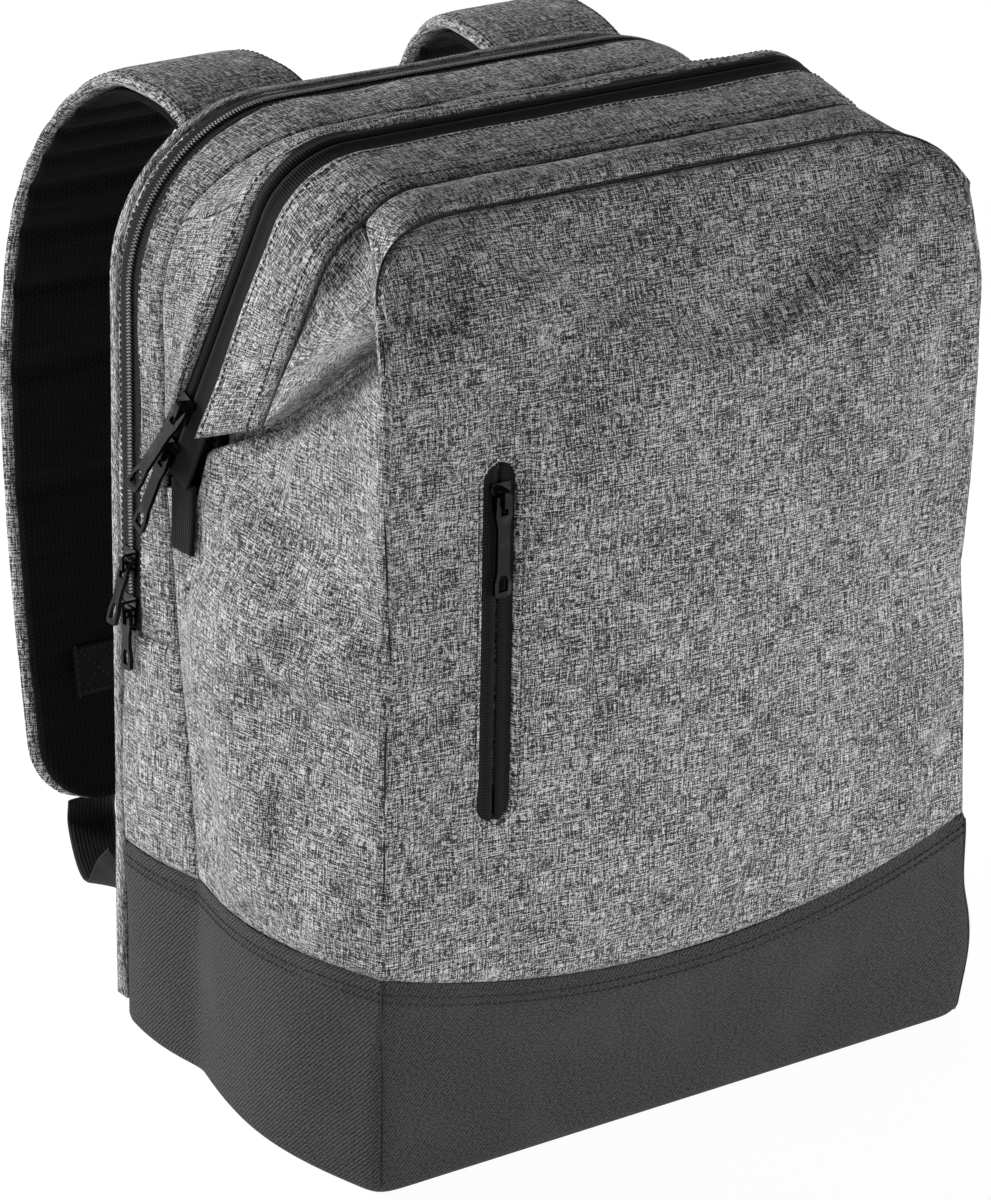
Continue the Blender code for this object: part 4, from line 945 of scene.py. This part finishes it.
def rear_lip():
    """Strip between the zip and the rear compartment, with a soft valley over the top."""
    spring = ARCH_TOP - ARCH_RADIUS
    grid = []
    for p in WHOLE:
        fold = min(p, 6 - p)
        if fold < 0.12:
            continue
        start = mouth(p, -REAR_LIP_OVER_TAPE)
        if fold > 1:
            rise = fold if fold > 2 else lerp(1.32, 2, smooth(1, 2, fold))
        elif start[2] > spring:
            rise = 1 + 0.45 * (start[2] - spring) / (ARCH_TOP - spring)
        else:
            rise = (start[2] - REAR_ZIP_Z) / (spring - REAR_ZIP_Z)
        match = rise if p < 3 else 6 - rise
        point, out = arch(match)
        end = np.array((point[0], arch_seam(match), point[1]))
        dip = 8 * MM * smooth(1, 2, fold)
        row = []
        for r in np.linspace(0, 1, 30):
            lift = 3 * MM * math.exp(-((r - 0.2) / 0.16) ** 2) - dip * math.sin(math.pi * r) ** 2
            row.append(lerp(start, end, r) + np.array((out[0], 0, out[1])) * lift)
        grid.append(row)
    grid = np.array(grid)
    puff = 0.8 * MM + 1.3 * MM * ripple(far_along(grid, 0), far_along(grid, 1), 61, 8, 6, 22)
    made = panel("rear_lip_cloth", grid, GREY, 1.8 * MM, HUB, SEWN, 1.4 * MM, 4 * MM, puff)
    on(made, "bag", "grey_melange", "rear_lip_band")


def mouth_top():
    rear = mouth_tape("mouth_tape_rear", -TAPE_REAR - 1 * MM, -0.5 * MM, 9)
    on(rear, "bag", "black_zip_tape", "mouth_zip_tape_rear")
    front = mouth_tape("mouth_tape_front", 0.5 * MM, TAPE_FRONT + 1 * MM, 13)
    bend(front, LEG_START, LEG_END, "black_zip_tape", "mouth_zip_tape_front", "left_zip_leg", "right_zip_leg")
    front_lip()
    rear_lip()
    outer, out = surfaces["front_lip_cloth"]
    for column, word in ((2, "upper"), (12, "lower")):
        piece = stitches(f"lip_{word}_stitching", outer[:, column], out[:, column], THREAD)
        bend(piece, LEG_START, LEG_END, "grey_melange")
    outer, out = surfaces["rear_lip_cloth"]
    on(stitches("rear_lip_stitching", outer[:, 3], out[:, 3], THREAD), "bag", "grey_melange")


mouth_top()


def front_top():
    crease = 0.1
    grid = []
    for x in CAP_X * np.sin(math.pi / 2 * np.linspace(-1, 1, 150)):
        v = 0.5 * (1 - abs(x) / CAP_X)
        low = front_cap(-abs(x), arch_angle(x))
        if v <= crease:
            high = lerp(PINCH, SEAM_CORNER, 0.04 + 0.96 * v / crease)
        else:
            high = mouth(lerp(SEAM_PART, 3, (v - crease) / (0.5 - crease)), BAND_OUT)
        high = high + MOUTH_UP * 1.2 * MM
        hump = MOUTH_UP * 4 * MM * smooth(0, 0.2, v)
        row = np.array([lerp(low, high, r) + hump * math.sin(math.pi * r) for r in np.linspace(0, 1, 26)])
        grid.append(row * np.array((1 if x < 0 else -1, 1, 1)))
    grid = np.array(grid)
    weave = grid[..., 0], far_along(grid, 1)
    puff = 1.2 * MM * ripple(*weave, 71, 8, 6, 20)
    piece = panel("front_top_cloth", grid, GREY, 1.8 * MM, puff=puff, weave=weave)
    on(piece, "front_flap", "grey_melange", "front_top_strip")


front_top()


def gusset_point(r, k):
    """Flat gusset on the left: r leads from the pinch to the lip, k from the upper seam to the fold."""
    return lerp(lerp(PINCH, SEAM_CORNER, r), lerp(PINCH, BAND_TIP, r), k)


def bow(part):
    """Full in the middle and nothing at both ends."""
    return math.sin(math.pi * min(1, part)) ** 0.7


def gusset_row(r):
    """The cloth tucked under the upper seam, the gusset itself, and the cloth tucked in at the fold."""
    row = []
    for k in np.linspace(1, 0.15, 6):
        deep = k * bow(0.12 + 0.8 * r) * MM
        row.append(gusset_point(r, 0) + deep * (np.array((14, 0, -4)) - 3 * MOUTH_UP))
    swell = math.sin(math.pi * min(1, 1.05 * r)) ** 0.8 * MM
    for k in np.linspace(0, 1, 46):
        edge = mouth(lerp(SEAM_PART, BAND_LOW, k), BAND_OUT)
        hollow = 6 * math.exp(-((k - 0.2) / 0.2) ** 2) - 7 * math.exp(-((k - 0.86) / 0.2) ** 2)
        row.append(lerp(gusset_point(r, k), edge, r ** 4) + np.array((hollow * swell, 0, 0)))
    deep, rise = 24 * MM * bow(0.15 + 0.8 * r), 4 * MM * bow(0.1 + 0.9 * r)
    for k in np.linspace(0.12, 1, 8):
        row.append(gusset_point(r, 1) + np.array((deep * k - rise * (1 - k), 0, rise * k)))
    return row


def gusset_web():
    """Cloth behind the gusset that closes it to the front."""
    rows = []
    for r in np.linspace(0.04, 0.97, 36):
        row = []
        for k in np.linspace(0, 0.42, 16):
            deep = lerp(2 * MM, 11 * MM, smooth(0, 0.15, k)) * smooth(0, 0.2, r)
            row.append(gusset_point(r, k) + np.array((deep + 1 * MM, 0, -1 * MM)))
        rows.append(row)
    return np.array(rows)


def fold_facing():
    """Strip inside the bag along the fold and the top of the side."""
    drops = np.array([(14, 0, high) for high in np.linspace(5, -20, 12)]) * MM
    return even([PINCH, BAND_TIP, BAND_NICK], 50)[:, None] + drops


def gusset_folds():
    hub = (0, -0.02, 0.3)
    fold = unit((BAND_TIP - PINCH) * NO_X)
    rise = (SEAM_CORNER - PINCH) * NO_X
    rise = rise - fold * (rise @ fold)
    start, end = tuple(PINCH * NO_X), tuple(PINCH * NO_X + 0.8 * rise)
    for side, word in SIDES:
        mirror = np.array((-side, 1, 1))
        grid = np.array([gusset_row(r) for r in np.linspace(0.03, 1, 50)]) * mirror
        piece = panel(f"{word}_gusset_cloth", grid, GREY, 1.4 * MM, hub, (0, 1, 0, 0), 1.2 * MM, 3 * MM)
        bend(piece, start, end, "grey_melange", f"{word}_gusset_fold")
        piece = panel(f"{word}_gusset_web_cloth", gusset_web() * mirror, GREY, 1 * MM, hub, FLAT)
        on(piece, "front_flap", "grey_melange")
        piece = panel(f"{word}_fold_facing_cloth", fold_facing() * mirror, GREY, 1.2 * MM, (0, 0, 0.25), FLAT)
        on(piece, "bag", "grey_melange")


gusset_folds()


# Seams where two panels meet; the dark twill tubes in the front corner seams, the front arch seam and the lip
# seam are painted shade, thin dark lines for the shadow in those grooves
def seams():
    tip = HALF_WIDTH - 1.6 * MM
    rings, around = surfaces["base_cloth"]
    for side, word in SIDES:
        corner = rings[3:38, np.argmin(np.abs(around - (1.5 + 0.5 * side)))]
        on(tube(f"{word}_base_seam", corner, 0.4 * MM, TWILL), "bag", "charcoal_twill")
        # Painted shade: a thin dark tube sunk in the front corner seam stands for the shadow in its groove
        levels = np.linspace(BASE_FRONT, FOLD_Z, 90)
        path = [(side * tip, front_y(HALF_WIDTH, z) + 1.2 * MM, z) for z in levels]
        on(tube(f"{word}_corner_seam_shadow", path, 0.6 * MM, TWILL), "bag", "charcoal_twill")
    # Painted shade: a thin dark tube along the front arch seam stands for the shadow in its groove
    xs = tip * np.sin(math.pi / 2 * np.linspace(-1, 1, 180))
    path = [front_cap(x, arch_angle(x)) + np.array((0, 0.6, -0.6)) * MM for x in xs]
    on(tube("front_arch_seam_shadow", path, 0.5 * MM, TWILL), "front_flap", "charcoal_twill")
    leg = np.linspace(BAND_LOW, 1, 30)
    parts = np.concatenate([leg[:-1], TOP, 6 - leg[::-1][1:]])
    # Painted shade: a dark tube along the lip's outer seam stands for the deep shadow in that seam
    seam = tube("lip_seam_shadow", [mouth(p, BAND_OUT) + MOUTH_UP * 0.4 * MM for p in parts], 1 * MM, TWILL)
    bend(seam, LEG_START, LEG_END, "charcoal_twill")


seams()


# Pocket zip and zip end tabs
def pocket_zip():
    y = front_y(POCKET_X, POCKET_MIDDLE) + 1.9 * MM
    hub = (POCKET_X, 0, POCKET_MIDDLE)
    for side, word in SIDES:
        grid = []
        for z in np.linspace(POCKET_LOW + 0.6 * MM, POCKET_HIGH - 0.6 * MM, 120):
            past = max(abs(z - POCKET_MIDDLE) - POCKET_STRAIGHT, 0)
            half = math.sqrt(max(0, POCKET_HALF ** 2 - past ** 2)) - 0.2 * MM
            fars = np.linspace(0.45 * MM, max(half, 1.4 * MM), 10)
            grid.append([(POCKET_X + side * far, y - lift, z) for far, lift in zip(fars, tape_lift(fars))])
        piece = panel(f"pocket_tape_{word}_cloth", grid, TAPE, 1 * MM, hub, FLAT)
        on(piece, "bag", "black_zip_tape", f"pocket_zip_tape_{word}")
    half = POCKET_HALF + 2.4 * MM
    loop = []
    for side in (1, -1):
        loop += [(side * half, side * t) for t in np.linspace(-POCKET_STRAIGHT, POCKET_STRAIGHT, 60)]
        for turn in np.linspace(0, math.pi, 16):
            loop.append((side * half * math.cos(turn), side * (POCKET_STRAIGHT + half * math.sin(turn))))
    path = []
    for across, up in loop:
        x, z = POCKET_X + across, POCKET_MIDDLE + up
        path.append((x, front_y(x, z) - 0.5 * MM + 1.7 * MM * pull_room(x, z), z))
    made = stitches("pocket_stitching", path, (0, -1, 0), THREAD, 2.8 * MM, 2 * MM, 0.3 * MM)
    on(made, "bag", "grey_melange")


pocket_zip()


def zip_tabs():
    levels = np.linspace(MOUTH_END[2] - 34 * MM, MOUTH_END[2] - 4 * MM, 28)
    for side, word in SIDES:
        grid = []
        for y in np.linspace(SEAM_HIGH - 22 * MM, SEAM_HIGH - 8 * MM, 16):
            outs = [side_x(y, min(z, SEAM_LEVEL - 2 * MM)) + SHELL for z in levels]
            grid.append([(side * out, y, z) for out, z in zip(outs, levels)])
        tab = panel(f"{word}_zip_tab_cloth", grid, GROSGRAIN, 1.8 * MM, deep=0.6 * MM, wide=2 * MM)
        on(tab, "bag", "black_zip_tape", f"{word}_zip_end_tab")


zip_tabs()


# Padded back
def back():
    edge = [(HALF_WIDTH, z) for z in np.linspace(12 * MM, ARCH_TOP - ARCH_RADIUS, 50)[:-1]]
    edge += [arch(part)[0] for part in np.linspace(5, 4, 30)]
    y = BACK_Y + BACK_THICK - 1 * MM
    grid = np.array([[(t * x, y, z) for t in np.linspace(-1, 1, 70)] for x, z in edge])
    puff = 0.8 * MM * ripple(grid[..., 0], grid[..., 2], 81, 6, 4, 12)
    piece = panel("back_cloth", grid, GREY, 8 * MM, deep=4 * MM, wide=8 * MM, puff=puff)
    on(piece, "bag", "grey_melange", "back_panel", fill=0.7)
    grid = grid * np.array((0.93, 1, 0.93)) + np.array((0, 0.5, 13)) * MM
    piece = panel("back_mesh", grid, KNIT, 1.2 * MM, deep=0.8 * MM, wide=3 * MM, puff=puff)
    on(piece, "bag", "black_lining")
    half = 0.5 * (HALF_WIDTH - 26 * MM) - 6 * MM
    low, high = 135 * MM, ARCH_TOP - 62 * MM
    pads = (
        ("left_back_pad", -6 * MM - half, half, low, high),
        ("right_back_pad", 6 * MM + half, half, low, high),
        ("lower_back_pad", 0, HALF_WIDTH - 32 * MM, 45 * MM, 123 * MM),
    )
    a, b = np.meshgrid(np.linspace(-1, 1, 60), np.linspace(-1, 1, 70), indexing="ij")
    rise = ((1 - np.abs(a) ** 5) * (1 - np.abs(b) ** 7)).clip(0, 1) ** 0.5
    for name, middle, wide, low, high in pads:
        x = middle + wide * a * np.sqrt(1 - 0.08 * b ** 8)
        z = 0.5 * (low + high) + 0.5 * (high - low) * b * np.sqrt(1 - 0.08 * a ** 8)
        groove = np.exp(-(((z - low) % (36 * MM) - 18 * MM) / (3 * MM)) ** 2)
        y = BACK_FACE + 0.6 * MM + (8 - 1.6 * groove) * MM * rise
        piece = panel(name + "_cloth", np.stack([x, y, z], -1), KNIT, 0.5 * MM, roll=FLAT)
        on(piece, "bag", "black_lining", name, fill=0.8)


back()


def box(name):
    return [np.array(corner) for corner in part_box(name)]


# Divider and pocket bag
def inside():
    hub = (0, 0.3, 0.2)
    low, high = box("divider")
    grid = []
    for z in np.linspace(low[2], high[2], 60):
        wide = high[0] - np.interp(z, [0.24, 0.30, 0.345, high[2]], [0, 8 * MM, 14 * MM, 34 * MM])
        grid.append([(wide * t, low[1], z) for t in np.linspace(-1, 1, 50)])
    made = panel("divider_cloth", grid, KNIT, high[1] - low[1], hub, deep=0.8 * MM, wide=3 * MM)
    on(made, "bag", "black_lining", "divider", fill=0.5)
    low, high = box("pocket_lining")
    xs, levels = np.linspace(low[0], high[0], 30), np.linspace(low[2], high[2], 50)
    grid = [[(x, low[1], z) for x in xs] for z in levels]
    made = panel("pocket_bag_cloth", grid, KNIT, high[1] - low[1], hub, deep=2 * MM, wide=8 * MM)
    on(made, "bag", "black_lining", "pocket_lining")


inside()


# Straps, in mm: places from the top of the back, and creases as place along the strap, depth and width
STRAP_X, STRAP_HALF = 80 * MM, 35 * MM
STRAP_LINE = (
    (0, 0, -17), (0, 8, -12), (1, 26, -7.5), (4, 54, -9), (10, 84, -32), (16, 104, -72),
    (20, 110, -130), (21, 108, -190), (21, 102, -250), (21, 94, -300), (21, 86, -345),
)
STRAP_CREASES = (
    (78, 2.2, 3), (96, 2.8, 4), (112, 2.0, 3), (130, 3.0, 4), (152, 2.4, 4),
    (178, 2.6, 5), (215, 2.0, 5), (270, 1.6, 6), (350, 1.4, 5),
)


def straps():
    path = curve(np.array((STRAP_X, BACK_FACE, ARCH_TOP)) + np.array(STRAP_LINE) * MM, 260)
    run = run_along(path)
    tip = 30 * MM
    past = np.clip(run - (run[-1] - tip), 0, tip) / tip
    half = STRAP_HALF - tip * (1 - np.sqrt(1 - np.minimum(past, 0.985) ** 2))
    crease = sum(deep * MM * np.exp(-((run / MM - at) / wide) ** 2) for at, deep, wide in STRAP_CREASES)
    out = np.cross((1, 0, 0), unit(np.gradient(path, axis=0)))
    pick = (run > run[-1] - 72 * MM) & (run < run[-1] - 47 * MM)
    for side, word in SIDES:
        mirror = np.array((side, 1, 1))
        line = path * mirror
        high = 8 * MM - 0.4 * crease
        cover = ribbon(f"{word}_strap_cover_cloth", line, half, 0.2 * MM, high, GREY, 0.35, 21)
        on(cover, "bag", "grey_melange", f"{word}_strap_cover", fill=0.8)
        low = crease - 3.8 * MM
        lining = ribbon(f"{word}_strap_lining_cloth", line, half - 2.5 * MM, low, 0.3 * MM, KNIT, 0.3, 15)
        on(lining, "bag", "black_lining", f"{word}_strap_lining", fill=0.6)
        patch = ribbon(f"{word}_strap_patch", line[pick], 12 * MM, -4.7 * MM, -3.6 * MM, GROSGRAIN, 0.2, 7)
        on(patch, "bag", "black_webbing")
        face = -out[pick] * mirror
        seat = line[pick] + face * 4.6 * MM
        aside = np.array((10.5 * MM, 0, 0))
        slant = np.linspace(-1, 1, len(seat))[:, None] * aside
        rows = [seat + slant, seat - slant, seat - aside, seat + aside]
        rows += [seat[end] + np.linspace(-1, 1, 8)[:, None] * aside for end in (1, -2)]
        for k, row in enumerate(rows):
            made = stitches(f"{word}_patch_stitching_{k}", row, face[0], THREAD, 2.6 * MM, 1.9 * MM)
            on(made, "bag", "black_webbing")
        for edge in (-1, 1):
            row = path + out * (7 * MM - 0.4 * crease)[:, None]
            row[:, 0] += edge * (half - 4 * MM)
            row, up = row[4:-8] * mirror, out[4:-8] * mirror
            on(stitches(f"{word}_strap_stitching_{edge + 1}", row, up, THREAD), "bag", "grey_melange")
        webbing(side, word, line)
        wing(side, word)


def webbing(side, word, line):
    low, high = box(f"{word}_adjuster_loop")
    pick = (line[:, 2] > low[2] + 1 * MM) & (line[:, 2] < high[2] - 1 * MM)
    half = 0.5 * (high[0] - low[0])
    loop = ribbon(f"{word}_adjuster_loop_cloth", line[pick], half, 8.4 * MM, 10 * MM, WEB, 0.2, 9)
    on(loop, "bag", "black_webbing", f"{word}_adjuster_loop")
    low, high = box(f"{word}_adjuster")
    start = 0.5 * (low + high) + np.array((0, -2.4, -18.8)) * MM
    apex = np.array((side * (HALF_WIDTH - 14 * MM), BACK_Y + BACK_THICK + 15 * MM, 62 * MM))
    points = (
        start,
        start + np.array((0, 0, -14)) * MM,
        lerp(start, apex, 0.5) + np.array((0, 0, -26)) * MM,
        apex + np.array((side * -4, 14, -11)) * MM,
        apex,
    )
    flat, turned = np.array((side, 0, 0)), np.array((side * 0.55, -0.2, 0.75))
    twist = [lerp(flat, turned, smooth(0.2, 1, t)) for t in np.linspace(0, 1, 90)]
    path = curve(points, 90)
    band = ribbon(f"{word}_webbing_cloth", path, 12.5 * MM, -0.8 * MM, 0.8 * MM, WEB, 0.2, 13, twist)
    on(band, "bag", "black_webbing", f"{word}_webbing")


def wing(side, word):
    low, high = box(f"{word}_wing_tab")
    x, near = (low if side < 0 else high)[0], low[1] + 1 * MM
    grid = []
    for z in np.linspace(low[2] + 1 * MM, high[2] - 1 * MM, 40):
        rear = np.interp(z, [low[2], 44 * MM, 82 * MM, high[2]], [near, high[1], high[1], near])
        grid.append([(x, y, z) for y in np.linspace(low[1], rear, 16)])
    hub = (0, 0.12, 0.06)
    made = panel(f"{word}_wing_cloth", grid, GREY, high[0] - low[0], hub, deep=1.2 * MM, wide=3 * MM)
    on(made, "bag", "grey_melange", f"{word}_wing_tab")


straps()


def handle():
    loop = ((-32, 0), (-27, 14), (-12, 22), (12, 22), (27, 14), (32, 0))
    path = curve([(x * MM, BACK_FACE + y * MM, ARCH_TOP - 22 * MM) for x, y in loop], 90)
    low, high = box("grab_loop")
    half = 0.5 * (high[2] - low[2])
    made = ribbon("grab_loop_cloth", path, half, -0.9 * MM, 0.9 * MM, WEB, 0.2, 13, (0, 0, 1))
    on(made, "bag", "black_webbing", "grab_loop")


handle()

# Solids that are seen as they are
for name, node in nodes.items():
    if name.endswith(("_slider", "_pull", "_adjuster", "base_board")):
        node.data.materials.clear()
        node.data.materials.append(ZINC if name.endswith(("_slider", "_pull")) else ACETAL)


# Floor, light and camera
def sky(world):
    """Dark over the front, pale towards the sides and the rear."""
    f = Nodes(world.node_tree)
    _, rear, up = f.parts(f.place("Generated"))
    front = f.blend(up.between(0.05, 0.6, "LINEAR"), (0.3, 0.3, 0.3), (0.03, 0.03, 0.03))
    colour = f.blend(rear.between(0.15, 0.7, "LINEAR"), front, (0.75, 0.75, 0.75))
    f.join(world.node_tree.nodes["Background"].inputs["Color"], colour)


def lamp(name, kind, place, aim, power):
    light = bpy.data.lights.new(name, kind)
    light.energy = power
    item = bpy.data.objects.new(name, light)
    item.location = place
    item.rotation_euler = (Vector(aim) - Vector(place)).to_track_quat("-Z", "Y").to_euler()
    bpy.context.scene.collection.objects.link(item)
    return light


def studio():
    f = Finish("pale_floor", 0.9)
    f.set((0.93, 0.93, 0.93))
    f.shader.inputs["Emission Color"].default_value = (1, 1, 1, 1)
    f.shader.inputs["Emission Strength"].default_value = 0.22
    ray = f.node("ShaderNodeLightPath")
    seen = Value(f, ray.outputs["Is Camera Ray"]) + Value(f, ray.outputs["Is Glossy Ray"])
    glow = f.node("ShaderNodeEmission", None, {"Color": (1, 1, 1, 1), "Strength": 1.06})
    layers = {0: seen * 0.88, 1: Value(f, f.shader.outputs[0]), 2: Value(f, glow.outputs[0])}
    mixed = f.node("ShaderNodeMixShader", None, layers)
    f.join(f.tree.nodes["Material Output"].inputs["Surface"], Value(f, mixed.outputs[0]))
    bpy.ops.mesh.primitive_plane_add(size=30, location=(0, 0, 0))
    floor = bpy.context.object
    floor.name = "pale_floor"
    floor.data.materials.append(f.mat)
    world = bpy.data.worlds.new("studio")
    bpy.context.scene.world = world
    world.use_nodes = True
    sky(world)
    softboxes = (
        ((-2.5, -1.1, 0.3), 1.2, 6),
        ((2.6, -0.8, 0.2), 1.0, 38),
        ((-1.4, 1.7, 1.0), 1.0, 48),
    )
    for place, size, power in softboxes:
        light = lamp("softbox", "AREA", place, (0, 0, 0.2), power)
        light.shape, light.size = "SQUARE", size
    low_lamps = (
        ("low_front", (0.9, -2.6, 0.25), (0.09, -0.1, 0.03), 330),
        ("low_side", (-2.6, -0.7, 0.25), (-0.15, 0.0, 0.05), 45),
    )
    for name, place, aim, power in low_lamps:
        light = lamp(name, "SPOT", place, aim, power)
        light.shadow_soft_size = 0.35
        light.spot_size, light.spot_blend = math.radians(13), 1.0


studio()


def camera():
    az, el, roll, far = math.radians(-35.7), math.radians(21.75), math.radians(1.02), 2.2
    back = Vector((math.sin(az) * math.cos(el), -math.cos(az) * math.cos(el), math.sin(el)))
    right = (-back).cross(Vector((0, 0, 1))).normalized()
    up = right.cross(-back).normalized()
    x = math.cos(roll) * right + math.sin(roll) * up
    y = -math.sin(roll) * right + math.cos(roll) * up
    item = bpy.data.objects.new("camera", bpy.data.cameras.new("camera"))
    place = Matrix.Translation(Vector((-0.0293, 0, 0.2018)) + back * far)
    item.matrix_world = place @ Matrix((x, y, back)).transposed().to_4x4()
    item.data.sensor_width = 36
    item.data.lens = 158.67
    item.data.clip_end = 60
    bpy.context.scene.collection.objects.link(item)
    bpy.context.scene.camera = item


camera()
bpy.context.scene.view_settings.view_transform = "Standard"
